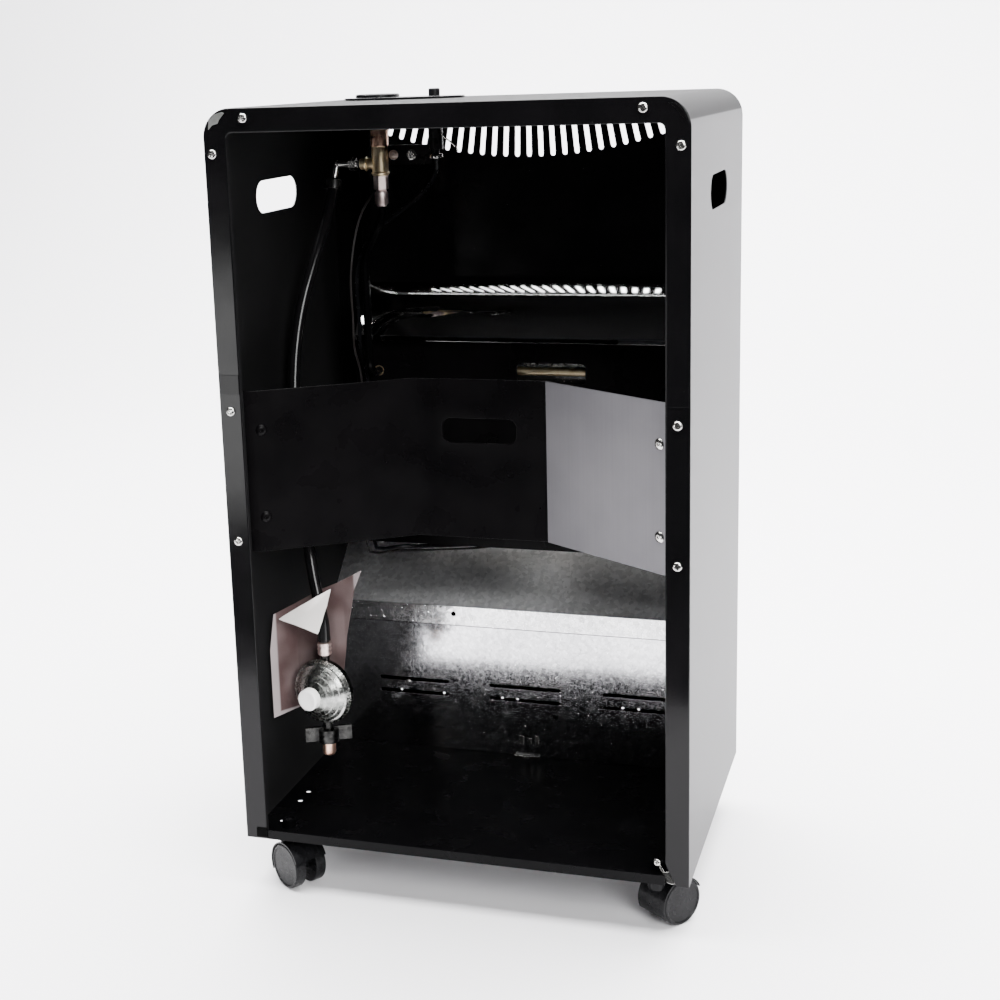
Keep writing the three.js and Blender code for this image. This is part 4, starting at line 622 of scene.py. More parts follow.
class Bench:
    """Makes and shapes meshes with the modelling operators."""

    @staticmethod
    def clear() -> None:
        """Leaves edit mode and deselects everything."""
        if bpy.context.object and bpy.context.object.mode != "OBJECT":
            bpy.ops.object.mode_set(mode="OBJECT")
        bpy.ops.object.select_all(action="DESELECT")

    @staticmethod
    def take(obj: Piece) -> None:
        """Makes obj the only selected object, and the active one."""
        Bench.clear()
        obj.select_set(True)
        bpy.context.view_layer.objects.active = obj

    @staticmethod
    @contextmanager
    def editing(obj: Piece, mode: str = "FACE") -> Iterator[None]:
        """Edits obj's mesh, with nothing selected at the start.

        Args:
            obj: The piece to edit.
            mode: What is selected: VERT, EDGE or FACE.

        Yields:
            Nothing, while the piece is in edit mode.
        """
        Bench.take(obj)
        bpy.ops.object.mode_set(mode="EDIT")
        bpy.ops.mesh.select_mode(type=mode)
        bpy.ops.mesh.select_all(action="DESELECT")
        yield
        bpy.ops.object.mode_set(mode="OBJECT")

    @staticmethod
    def pick(obj: Piece, test: Callable[[Vector, Vector], bool]) -> None:
        """Selects faces of the piece in edit mode.

        Args:
            obj: The piece.
            test: Tells from a face's centre and normal whether it is selected.
        """
        mesh = bmesh.from_edit_mesh(obj.data)
        for face in mesh.faces:
            face.select_set(test(face.calc_center_median(), face.normal))
        mesh.select_flush_mode()
        bmesh.update_edit_mesh(obj.data)

    @staticmethod
    def pick_edges(obj: Piece, test: Callable[[Vector, Vector], bool]) -> None:
        """Selects edges of the piece in edit mode.

        Args:
            obj: The piece.
            test: Tells from an edge's middle and span whether it is selected.
        """
        mesh = bmesh.from_edit_mesh(obj.data)
        for edge in mesh.edges:
            ends = [vert.co for vert in edge.verts]
            edge.select_set(test((ends[0] + ends[1]) / 2, ends[1] - ends[0]))
        mesh.select_flush_mode()
        bmesh.update_edit_mesh(obj.data)

    @staticmethod
    def named(name: str) -> Piece:
        """Names the object that an operator has just added.

        Args:
            name: The object's and its mesh's name.

        Returns:
            The object.
        """
        obj = bpy.context.object
        obj.name = name
        obj.data.name = name
        return obj

    @staticmethod
    def settle(obj: Piece) -> None:
        """Turns every face outwards and puts the object's place in its mesh.

        Args:
            obj: The piece.
        """
        with Bench.editing(obj):
            bpy.ops.mesh.select_all(action="SELECT")
            bpy.ops.mesh.remove_doubles(threshold=1e-6)
            bpy.ops.mesh.normals_make_consistent(inside=False)
        Bench.settle_place(obj)

    @staticmethod
    def turned(name: str, profile: Profile, sides: int = 32) -> Piece:
        """Draws a disc up through a profile.

        Args:
            name: The piece's name.
            profile: Pairs of radius and height, from the first disc to the last.
            sides: How many sides the round has.

        Returns:
            The closed piece, which stands on +Z at the origin.
        """
        Bench.clear()
        radius, height = profile[0]
        bpy.ops.mesh.primitive_circle_add(
            vertices=sides, radius=radius, fill_type="NGON", location=(0, 0, height)
        )
        obj = Bench.named(name)
        Bench.settle_place(obj)
        with Bench.editing(obj):
            bpy.ops.mesh.select_all(action="SELECT")
            for new_radius, new_height in profile[1:]:
                lift = {"value": (0, 0, new_height - height)}
                bpy.ops.mesh.extrude_region_move(TRANSFORM_OT_translate=lift)
                share = new_radius / radius
                bpy.ops.transform.resize(value=(share, share, 1), center_override=(0, 0, new_height))
                radius, height = new_radius, new_height
        Bench.settle(obj)
        return obj

    @staticmethod
    def settle_place(obj: Piece) -> None:
        """Puts the object's place in its mesh."""
        Bench.take(obj)
        bpy.ops.object.transform_apply(location=True, rotation=True, scale=True)

    @staticmethod
    def block(name: str, low: Point, high: Point, round_off: float = 0.0, steps: int = 2) -> Piece:
        """Makes a block with rounded edges.

        Args:
            name: The piece's name.
            low: Its lowest corner.
            high: Its highest corner.
            round_off: How far its edges are rounded.
            steps: How many steps a rounded edge has.

        Returns:
            The piece.
        """
        Bench.clear()
        centre = [(a + b) / 2 for a, b in zip(low, high)]
        size = [b - a for a, b in zip(low, high)]
        bpy.ops.mesh.primitive_cube_add(size=1, location=centre)
        obj = Bench.named(name)
        obj.scale = size
        Bench.settle_place(obj)
        if round_off:
            with Bench.editing(obj, "EDGE"):
                bpy.ops.mesh.select_all(action="SELECT")
                bpy.ops.mesh.bevel(offset=round_off, segments=steps, affect="EDGES")
        return obj

    @staticmethod
    def plate(name: str, outline: Sequence[Point], thickness: float) -> Piece:
        """Makes a flat sheet, from z 0 up.

        Args:
            name: The piece's name.
            outline: Its corners in X and Y, in metres.
            thickness: Its thickness in metres.

        Returns:
            The piece.
        """
        Bench.clear()
        bpy.ops.mesh.primitive_circle_add(vertices=len(outline), radius=1, fill_type="NGON")
        obj = Bench.named(name)
        for vert, place in zip(obj.data.vertices, outline):
            vert.co = (place[0], place[1], 0.0)
        with Bench.editing(obj):
            bpy.ops.mesh.select_all(action="SELECT")
            bpy.ops.mesh.extrude_region_move(TRANSFORM_OT_translate={"value": (0, 0, thickness)})
        Bench.settle(obj)
        return obj

    @staticmethod
    def modify(obj: Piece, kind: str, **settings: Any) -> None:
        """Adds a modifier and applies it.

        Args:
            obj: The piece.
            kind: The modifier's type.
            **settings: The modifier's own properties.
        """
        Bench.take(obj)
        modifier = obj.modifiers.new(kind.title(), kind)
        for name, value in settings.items():
            setattr(modifier, name, value)
        bpy.ops.object.modifier_apply(modifier=modifier.name)

    @staticmethod
    def soften(obj: Piece, width: float, steps: int = 2, angle: float = 35.0) -> None:
        """Rounds the edges that are sharper than an angle in degrees."""
        Bench.modify(
            obj, "BEVEL", width=width, segments=steps, limit_method="ANGLE", angle_limit=math.radians(angle)
        )

    @staticmethod
    def smooth(obj: Piece, angle: float = 35.0) -> None:
        """Shades smoothly across edges flatter than an angle in degrees, led by the larger faces."""
        Bench.take(obj)
        bpy.ops.object.shade_smooth_by_angle(angle=math.radians(angle))
        Bench.modify(obj, "WEIGHTED_NORMAL", weight=90, keep_sharp=True)

    @staticmethod
    def carve(obj: Piece, *cutters: Piece) -> None:
        """Cuts other pieces out of obj and removes them."""
        for cutter in cutters:
            Bench.modify(obj, "BOOLEAN", operation="DIFFERENCE", solver="EXACT", object=cutter)
            bpy.data.objects.remove(cutter)

    @staticmethod
    def join(name: str, pieces: Sequence[Piece]) -> Piece:
        """Joins pieces of one material into one object.

        Args:
            name: The new name.
            pieces: The pieces, of which the first stays.

        Returns:
            The joined piece.
        """
        Bench.clear()
        for obj in pieces:
            obj.select_set(True)
        bpy.context.view_layer.objects.active = pieces[0]
        bpy.ops.object.join()
        return Bench.named(name)

    @staticmethod
    def copy(obj: Piece, name: str, matrix: Matrix | None = None) -> Piece:
        """Copies a piece together with its mesh.

        Args:
            obj: The piece to copy.
            name: The copy's name.
            matrix: What the copy's mesh is moved by.

        Returns:
            The copy.
        """
        made = obj.copy()
        made.data = obj.data.copy()
        made.name = made.data.name = name
        made.parent = None
        bpy.context.scene.collection.objects.link(made)
        if matrix is not None:
            made.data.transform(matrix)
        return made

    @staticmethod
    def facing(axis: Vector | Axis, place: Point) -> Matrix:
        """Returns the matrix that turns +Z to an axis and moves the origin to a place."""
        direction = Vector(axis.value if isinstance(axis, Axis) else axis)
        return Matrix.Translation(Vector(place)) @ direction.to_track_quat("Z", "Y").to_matrix().to_4x4()

    @staticmethod
    def of_node(
        node: str, name: str, width: float = 0.0, steps: int = 2, angle: float = 35.0, tidy: bool = True
    ) -> Piece:
        """Copies a CAD node, merges its faces and rounds its edges.

        Args:
            node: The CAD node's name.
            name: The piece's name.
            width: How far edges are rounded.
            steps: How many steps a rounded edge has.
            angle: Edges sharper than this many degrees are rounded.
            tidy: Whether flat neighbours are merged into one face first.

        Returns:
            The new piece.
        """
        made = Bench.copy(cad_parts[node], name)
        for key in list(made.keys()):
            if key.startswith("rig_"):
                del made[key]
        made.hide_render = made.hide_viewport = False
        with Bench.editing(made):
            bpy.ops.mesh.select_all(action="SELECT")
            bpy.ops.mesh.customdata_custom_splitnormals_clear()
            bpy.ops.mesh.remove_doubles(threshold=2e-6)
            if tidy:
                bpy.ops.mesh.dissolve_limited(angle_limit=math.radians(0.6))
        if width:
            Bench.soften(made, width, steps, angle)
        Bench.smooth(made, angle)
        return made


def dress(
    obj: Piece, finish: Finish, body: str = CABINET, replaces: Iterable[str] = ()
) -> Piece:
    """Gives a new piece its finish and the body it rides on.

    Args:
        obj: The piece, with its place in its mesh.
        finish: Its finish.
        body: The CAD body it moves with.
        replaces: The CAD nodes it stands for.

    Returns:
        The same piece.
    """
    obj.data.materials.clear()
    obj.data.materials.append(finish.material())
    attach(obj, body)
    names = list(replaces)
    if names:
        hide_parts(*names)
    log.info("%s: %s on %s", obj.name, finish.name, body)
    return obj


def refine(
    node: str, finish: Finish, body: str = CABINET, width: float = 0.0, steps: int = 2, angle: float = 35.0
) -> Piece:
    """Replaces a CAD node by a copy with rounded edges, dressed in a finish."""
    made = Bench.of_node(node, node + "_dressed", width, steps, angle)
    return dress(made, finish, body, [node])


# ---- Fasteners ------------------------------------------------------------------------------


@dataclass
class Fasteners:
    """The screws, nuts and rivets, each modelled once and copied."""

    head_radius: float = 0.004
    head_height: float = 0.0022
    rivet_radius: float = 0.0048
    rivet_height: float = 0.0016
    nut_radius: float = 0.0046

    def build(self) -> None:
        """Models one of each kind."""
        self.screw = self._pan_head()
        self.rivet = self._blind_rivet()
        self.nut = self._flange_nut()
        for pattern in (self.screw, self.rivet, self.nut):
            Bench.smooth(pattern, 40)

    def _pan_head(self) -> Piece:
        """Models a pan head with a cross recess.

        Returns:
            The pattern, whose seat is at the origin.
        """
        radius, height = self.head_radius, self.head_height
        profile = [
            (radius * 0.98, 0.0),
            (radius, height * 0.25),
            (radius * 0.95, height * 0.6),
            (radius * 0.78, height * 0.86),
            (radius * 0.5, height),
        ]
        head = Bench.turned("pan_head_pattern", profile, 28)
        wide, narrow, deep = radius * 0.62, radius * 0.15, height * 0.45
        first = Bench.block("recess_a", (-wide, -narrow, deep), (wide, narrow, 2 * height))
        second = Bench.block("recess_b", (-narrow, -wide, deep), (narrow, wide, 2 * height))
        Bench.carve(head, first, second)
        return head

    def _blind_rivet(self) -> Piece:
        """Models a domed rivet with the hollow that its mandrel leaves.

        Returns:
            The pattern, whose seat is at the origin.
        """
        radius, height = self.rivet_radius, self.rivet_height
        profile = [
            (radius, 0.0),
            (radius * 0.97, height * 0.3),
            (radius * 0.72, height * 0.85),
            (radius * 0.42, height),
            (radius * 0.3, height),
            (radius * 0.26, height * 0.35),
        ]
        return Bench.turned("rivet_pattern", profile, 24)

    def _flange_nut(self) -> Piece:
        """Models a hexagon nut on its round flange, with the end of its screw.

        Returns:
            The pattern, whose seat is at the origin.
        """
        radius = self.nut_radius
        rounds = [(radius * 1.25, 0), (radius * 1.2, 0.0008), (radius, 0.001)]
        flange = Bench.turned("nut_flange", rounds, 28)
        corners = [(radius, 0.0005), (radius, 0.0036), (radius * 0.88, 0.0042)]
        hexagon = Bench.turned("nut_hexagon", corners, 6)
        thread = [(radius * 0.5, 0.001), (radius * 0.5, 0.0056), (radius * 0.4, 0.006)]
        stud = Bench.turned("nut_stud", thread, 16)
        return Bench.join("nut_pattern", [flange, hexagon, stud])

    def put(
        self,
        pattern: Piece,
        name: str,
        place: Point,
        axis: Vector | Axis = Axis.REAR,
        turn: float = 0.0,
        finish: Finish = Finishes.bright_steel,
        size: float = 1.0,
    ) -> Piece:
        """Places a copy of a fastener on the cabinet.

        Args:
            pattern: The fastener to copy.
            name: The copy's name.
            place: Where its seat is, in millimetres above the cabinet's underside.
            axis: Where its head points.
            turn: Its own turn in degrees.
            finish: Its finish.
            size: Its size against the pattern's.

        Returns:
            The copy.
        """
        matrix = (
            Bench.facing(axis, in_cabinet(place))
            @ Matrix.Rotation(math.radians(turn), 4, "Z")
            @ Matrix.Diagonal((size, size, size, 1))
        )
        return dress(Bench.copy(pattern, name, matrix), finish)

    def tidy(self) -> None:
        """Removes the patterns."""
        for pattern in (self.screw, self.rivet, self.nut):
            bpy.data.objects.remove(pattern)


def in_cabinet(place: Point) -> Vector:
    """Returns a place in metres, from millimetres above the cabinet's underside."""
    return Vector((place[0] * MM, place[1] * MM, place[2] * MM + BODY_FLOOR))


# ---- Cabinet --------------------------------------------------------------------------------


@dataclass
class Cabinet:
    """The casing, its front, its floor and what is fixed to them."""

    fasteners: Fasteners
    rear: float = 153.0
    edge: float = 0.00035
    fold: float = 0.0018
    louvres: tuple[float, float] = (0.08, 0.15)
    lip: tuple[float, float, float] = (0.0, 0.0027, 0.0067)
    flange_middle: float = 199.4
    flange_half: float = 9.2
    lap: tuple[float, float] = (427.5, 445.0)
    lap_thickness: float = 0.55

    SCREWS = ((171.8, 667.3, 20.0), (202.0, 637.5, 65.0), (199.5, 412.0, 35.0), (199.5, 292.0, 80.0))

    def build(self) -> None:
        """Dresses the sheets and adds what is screwed to them."""
        self._wrap()
        refine("front_fascia", Finishes.gloss_paint, width=self.edge)
        self._kick_panel()
        refine("base_plate", Finishes.inner_paint, width=self.edge)
        self._flange_screws()
        self._corner_webs()
        self._lap_joint()
        self._corner_wedge()

    def _kick_panel(self) -> None:
        """Presses a lip inwards from the lower edge of each louvre."""
        low, high = self.louvres
        panel = Bench.of_node("kick_panel", "kick_panel_dressed")
        with Bench.editing(panel):
            Bench.pick(panel, lambda middle, normal: normal.z > 0.995 and low < middle.z < high)
            bpy.ops.mesh.extrude_region_move(TRANSFORM_OT_translate={"value": self.lip})
        Bench.soften(panel, self.edge)
        Bench.smooth(panel)
        dress(panel, Finishes.gloss_paint, replaces=["kick_panel"])

    def _flange_screws(self) -> None:
        """Adds the screws left in the rear flanges."""
        for side, word in ((1, "left"), (-1, "right")):
            for number, (x, z, turn) in enumerate(self.SCREWS, 1):
                name = f"flange_screw_{word}_{number}"
                place = (side * x, self.rear, z)
                self.fasteners.put(self.fasteners.screw, name, place, turn=turn * side, size=1.05)

    def _wrap(self) -> None:
        """Rounds the folds of the rear flange more than the other edges."""
        wrap = Bench.of_node("casing_wrap", "casing_wrap_dressed", 0.0, angle=35)
        rear = self.rear * MM
        with Bench.editing(wrap, "EDGE"):

            def on_fold(middle: Vector, _span: Vector) -> bool:
                """Tells an edge of the rear flange's outer fold."""
                return abs(middle.y - rear) < 1e-5 and middle.z > BODY_FLOOR + 0.001

            Bench.pick_edges(wrap, on_fold)
            bpy.ops.mesh.bevel(offset=self.fold, segments=4, affect="EDGES", clamp_overlap=True)
        Bench.soften(wrap, self.edge, 2, 50)
        Bench.smooth(wrap, 40)
        dress(wrap, Finishes.casing_paint, replaces=["casing_wrap"])

    def _corner_webs(self) -> None:
        """Adds a grey metal patch in the left upper corner and a black painted one in the right, and the mitre
        seam where the flanges meet in each upper corner.
        """
        left = [
            (204.4, 658.1), (203.8, 666.0), (198.3, 670.9), (190.8, 672.6),
            (188.9, 671.8), (193.9, 666.4), (195.4, 663.3), (200.7, 661.9),
        ]
        right = [
            (-192.0, 670.8), (-197.6, 670.2), (-201.6, 666.8), (-204.8, 662.6),
            (-206.6, 656.4), (-203.6, 658.6), (-199.4, 664.0), (-196.0, 667.8),
        ]
        for name, outline, finish in (
            ("corner_patch_left", left, Finishes.cast_alloy),
            ("corner_patch_right", right, Finishes.panel_paint),
        ):
            patch = Bench.plate(name, [(x * MM, -z * MM) for x, z in outline], 0.0004)
            Bench.soften(patch, 0.00015)
            turn = Matrix.Rotation(-math.pi / 2, 4, "X")
            patch.data.transform(Matrix.Translation((0, self.rear * MM - 0.0001, BODY_FLOOR)) @ turn)
            Bench.smooth(patch, 50)
            dress(patch, finish)
        for side, name in ((1, "corner_seam_left"), (-1, "corner_seam_right")):
            seam = Bench.block(name, (-0.0042, -0.0003, -0.0002), (0.0042, 0.0003, 0.0003), 0.0002)
            lean = Matrix.Rotation(side * math.radians(-43), 4, "Y")
            seam.data.transform(Matrix.Translation(in_cabinet((side * 193.0, self.rear, 660.0))) @ lean)
            dress(seam, Finishes.gloss_paint)

    def _lap_joint(self) -> None:
        """Adds the thin upper sheet that laps over the left flange's lower part."""
        for side, name in ((1, "flange_lap_left"), (-1, "flange_lap_right")):
            middle = side * self.flange_middle
            low = (middle - self.flange_half, self.rear, self.lap[0])
            high = (middle + self.flange_half, self.rear + self.lap_thickness, self.lap[1])
            lap = Bench.block(name, in_cabinet(low), in_cabinet(high), 0.0002)
            dress(lap, Finishes.gloss_paint)

    def _corner_wedge(self) -> None:
        """Adds the bare bracket and its screw in the lower right corner, and the clip in the left one."""
        outline = [
            (-182.0, 14.8), (-183.6, 16.0), (-187.4, 9.6), (-190.0, 10.9), (-192.6, 10.6),
            (-195.0, 7.6), (-196.9, 1.8), (-196.6, 0.6), (-193.6, 0.4), (-190.4, 1.6),
        ]
        wedge = Bench.plate("corner_bracket", [(x * MM, -z * MM) for x, z in outline], 0.0011)
        Bench.soften(wedge, 0.0003)
        lean = Matrix.Rotation(math.radians(-66), 4, "X")
        wedge.data.transform(Matrix.Translation((0, 0.1502, BODY_FLOOR)) @ lean)
        Bench.smooth(wedge, 50)
        dress(wedge, Finishes.bright_steel)
        place, axis = (-181.2, 147.2, 18.4), Vector((0.1, 0.95, 0.2))
        self.fasteners.put(self.fasteners.screw, "corner_screw", place, axis, size=0.8)
        low = in_cabinet((188.2, self.rear - 0.6, 1.9))
        high = in_cabinet((199.2, self.rear + 1.4, 11.2))
        dress(Bench.block("corner_clip", low, high, 0.0008), Finishes.dull_black)


@dataclass
class InnerSheets:
    """The partition, the deflector and the cross panel."""

    fasteners: Fasteners
    wing: tuple[float, float] = (0.5532, 0.8331)

    def build(self) -> None:
        """Dresses the sheets and fixes their fasteners."""
        refine("partition_plate", Finishes.zinc, width=0.0002)
        refine("deflector_plate", Finishes.folded_zinc, width=0.0005)
        refine("cross_panel", Finishes.panel_paint, width=0.0005)
        refine("cross_panel_side_plate", Finishes.pale_sheet, width=0.0003)
        put, kinds = self.fasteners.put, self.fasteners
        put(kinds.screw, "partition_screw", (127.0, -91.0, 73.0), turn=25, size=0.75)
        put(kinds.rivet, "partition_rivet", (-32.0, -91.0, 47.0), finish=Finishes.inner_paint, size=0.6)
        self._foot_clip()
        across, back = self.wing
        for number, z in enumerate((390.7, 309.8), 1):
            right = Vector((across, back, 0.0))
            left = Vector((-across, back, 0.0))
            put(kinds.rivet, f"side_plate_rivet_{number}", (-180.0, 129.05, z), right, size=1.1)
            put(
                kinds.rivet, f"cross_panel_rivet_{number}", (181.2, 129.8, z), left,
                finish=Finishes.panel_paint, size=1.1,
            )

    def _foot_clip(self) -> None:
        """Adds the small bare clip at the partition's foot: a strip with three teeth."""
        parts = [((-15.0, -90.9, 1.4), (11.0, -87.0, 2.6))]
        for x, top in ((-14.0, 24.0), (-6.0, 21.0), (2.0, 23.0)):
            parts.append(((x, -90.9, 15.0), (x + 4.0, -90.3, top)))
        for number, (low, high) in enumerate(parts):
            name = f"foot_clip_{number}"
            dress(Bench.block(name, in_cabinet(low), in_cabinet(high), 0.0002), Finishes.bright_steel)


# ---- Burner ---------------------------------------------------------------------------------


@dataclass
class Burner:
    """The hood, the box behind the burner, and the radiant front."""

    columns: int = 22
    rows: int = 32
    margin: float = 0.003
    hole_wall: float = 0.00125
    hole_depth: float = 0.004

    def build(self) -> None:
        """Dresses the burner's pieces."""
        refine("burner_hood", Finishes.hood_metal, width=0.0004, angle=28.0)
        refine("burner_back_plate", Finishes.panel_paint, width=0.0006)
        refine("burner_body", Finishes.bright_steel, width=0.0005)
        refine("reflector", Finishes.chrome, width=0.0003, angle=20.0)
        refine("wire_guard", Finishes.bright_steel)
        refine("pilot_burner", Finishes.bright_steel, width=0.0002)
        refine("gas_manifold", Finishes.brass, width=0.0002)
        for number in (1, 2, 3):
            self._plaque(number)

    def _plaque(self, number: int) -> None:
        """Replaces one ceramic plaque by one with its flame holes.

        Args:
            number: The plaque's number, from the right.
        """
        node = f"ceramic_plaque_{number}"
        low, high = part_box(node)
        width, height = high.x - low.x, high.z - low.z
        holed_width, holed_height = width - 2 * self.margin, height - 2 * self.margin
        Bench.clear()
        bpy.ops.mesh.primitive_grid_add(x_subdivisions=self.columns, y_subdivisions=self.rows, size=1)
        face = Bench.named(f"plaque_{number}")
        face.scale = (holed_width, holed_height, 1)
        Bench.settle_place(face)
        with Bench.editing(face):
            bpy.ops.mesh.select_all(action="SELECT")
            bpy.ops.mesh.inset(thickness=self.hole_wall, use_individual=True, use_boundary=True)
            bpy.ops.mesh.extrude_faces_move(TRANSFORM_OT_shrink_fatten={"value": -self.hole_depth})
            bpy.ops.mesh.select_mode(type="EDGE")
            bpy.ops.mesh.select_all(action="DESELECT")
            bpy.ops.mesh.select_non_manifold(
                extend=False, use_wire=False, use_multi_face=False, use_non_contiguous=False, use_verts=False
            )
            grow = (width / holed_width, height / holed_height, 1)
            bpy.ops.mesh.extrude_region_move()
            bpy.ops.transform.resize(value=grow, center_override=(0, 0, 0))
            bpy.ops.mesh.extrude_region_move(TRANSFORM_OT_translate={"value": (0, 0, low.y - high.y)})
            bpy.ops.mesh.edge_face_add()
        centre = Vector(((low.x + high.x) / 2, low.y, (low.z + high.z) / 2))
        face.data.transform(Matrix.Translation(centre) @ Matrix.Rotation(math.pi / 2, 4, "X"))
        Bench.settle(face)
        Bench.smooth(face, 30)
        dress(face, Finishes.ceramic, replaces=[node])


# ---- Controls -------------------------------------------------------------------------------


@dataclass
class Controls:
    """The knob, the button, the valve and the igniter with their pipes and leads."""

    fasteners: Fasteners
    rib_depth: float = 0.0004
    grip_half: float = 0.003
    wire_radius: float = 0.0009

    def build(self) -> None:
        """Dresses the controls and adds their small parts."""
        refine("control_bezel", Finishes.black_plastic, width=0.0005, steps=3)
        refine("valve_spindle", Finishes.brass, "knob", width=0.0003)
        refine("valve_plunger", Finishes.brass, "knob_plunger", width=0.0002)
        refine("igniter_button", Finishes.black_plastic, "ignition_button", width=0.0008, steps=3)
        refine("igniter_body", Finishes.black_plastic, width=0.0008, steps=3)
        refine("valve_body", Finishes.brass, width=0.0006)
        refine("valve_bracket", Finishes.panel_paint, width=0.0003)
        refine("supply_union_nut", Finishes.warm_steel, width=0.0006)
        refine("supply_olive_nut", Finishes.pale_copper, width=0.0006)
        # Painted shade: the supply pipe takes the near-black inside paint, as dark as the shade it runs
        # through, over a bare metal tube.
        refine("supply_pipe", Finishes.inner_paint)
        refine("thermocouple_lead", Finishes.tarnished_copper)
        refine("ignition_lead", Finishes.wire_black)
        self._knob()
        self._valve_collars()
        put, kinds = self.fasteners.put, self.fasteners
        place = (112.5, -64.0, 623.7)
        put(kinds.nut, "bracket_nut_1", place, turn=12, finish=Finishes.warm_steel, size=0.85)
        put(kinds.nut, "bracket_nut_2", (94.0, -64.0, 623.7), turn=40, size=0.9)
        self._ignition_wire()

    def _knob(self) -> None:
        """Builds the knob: a low disc with a grip ridge and a ribbed rim."""
        low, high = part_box("control_knob")
        centre = (low + high) / 2
        radius = (high.x - low.x) / 2
        height = high.z - low.z
        profile = [
            (radius * 0.3, 0.0),
            (radius - 0.0006, 0.0),
            (radius, 0.0006),
            (radius, height - 0.0012),
            (radius - 0.0004, height - 0.0006),
            (radius - 0.0012, height - 0.0001),
            (radius - 0.004, height - 0.0001),
            (radius - 0.005, height - 0.0007),
            (radius * 0.4, height - 0.0007),
        ]
        knob = Bench.turned("control_knob_dressed", profile, 72)
        with Bench.editing(knob):
            wall = height - 0.0012

            def on_ribs(middle: Vector, normal: Vector) -> bool:
                """Tells every second face round the rim."""
                turn = round(math.degrees(math.atan2(middle.y, middle.x)) / 5 - 0.5)
                return abs(normal.z) < 0.1 and 0.0005 < middle.z < wall and turn % 2 == 0

            Bench.pick(knob, on_ribs)
            bpy.ops.mesh.extrude_faces_move(TRANSFORM_OT_shrink_fatten={"value": -self.rib_depth})
        low_corner = (-radius * 0.78, -self.grip_half, height - 0.0012)
        grip = Bench.block("knob_grip", low_corner, (radius * 0.78, self.grip_half, height), 0.0005)
        knob = Bench.join("control_knob_dressed", [knob, grip])
        Bench.settle(knob)
        Bench.smooth(knob, 35)
        knob.data.transform(Matrix.Translation((centre.x, centre.y, low.z)))
        dress(knob, Finishes.black_plastic, "knob", ["control_knob"])

    def _valve_collars(self) -> None:
        """Adds the turned collars on the valve and on the igniter's foot."""
        brass, copper, steel = Finishes.brass, Finishes.copper, Finishes.bright_steel
        collars = [
            ("valve_sleeve", (125.0, -60.0, 632.0), Axis.UP, 0.0086, 0.017, copper),
            ("valve_collar_foot", (125.0, -60.0, 605.6), Axis.UP, 0.009, 0.0026, brass),
            ("valve_collar_branch", (138.0, -60.0, 615.8), Axis.LEFT, 0.0068, 0.0026, brass),
            ("igniter_collar", (68.0, -60.0, 619.6), Axis.UP, 0.0066, 0.0044, steel),
        ]
        for name, place, axis, radius, height, finish in collars:
            edge = min(0.001, height * 0.3)
            profile = [
                (radius - edge, 0.0),
                (radius, edge),
                (radius, height - edge),
                (radius - edge, height),
            ]
            ring = Bench.turned(name, profile, 32)
            ring.data.transform(Bench.facing(axis, in_cabinet(place)))
            Bench.smooth(ring, 50)
            dress(ring, finish)

    def _ignition_wire(self) -> None:
        """Adds the short bare earth wire that curls beside the igniter."""
        route = [
            (60.5, -52.5, 668.0), (57.0, -51.0, 662.0), (57.4, -50.6, 655.0), (60.0, -50.8, 648.0),
            (58.6, -50.6, 641.0), (52.0, -50.4, 637.0), (46.6, -50.6, 632.5), (43.4, -51.2, 626.5),
        ]
        Bench.clear()
        bpy.ops.mesh.primitive_circle_add(vertices=10, radius=self.wire_radius, fill_type="NGON")
        wire = Bench.named("earth_wire")
        wire.data.transform(Bench.facing(Vector(route[1]) - Vector(route[0]), in_cabinet(route[0])))
        with Bench.editing(wire):
            bpy.ops.mesh.select_all(action="SELECT")
            for before, after in zip(route, route[1:]):
                step = in_cabinet(after) - in_cabinet(before)
                bpy.ops.mesh.extrude_region_move(TRANSFORM_OT_translate={"value": tuple(step)})
        Bench.settle(wire)
        Bench.modify(wire, "SUBSURF", levels=2, render_levels=2)
        Bench.smooth(wire, 60)
        dress(wire, Finishes.bright_steel)


# ---- Hose and regulator ---------------------------------------------------------------------


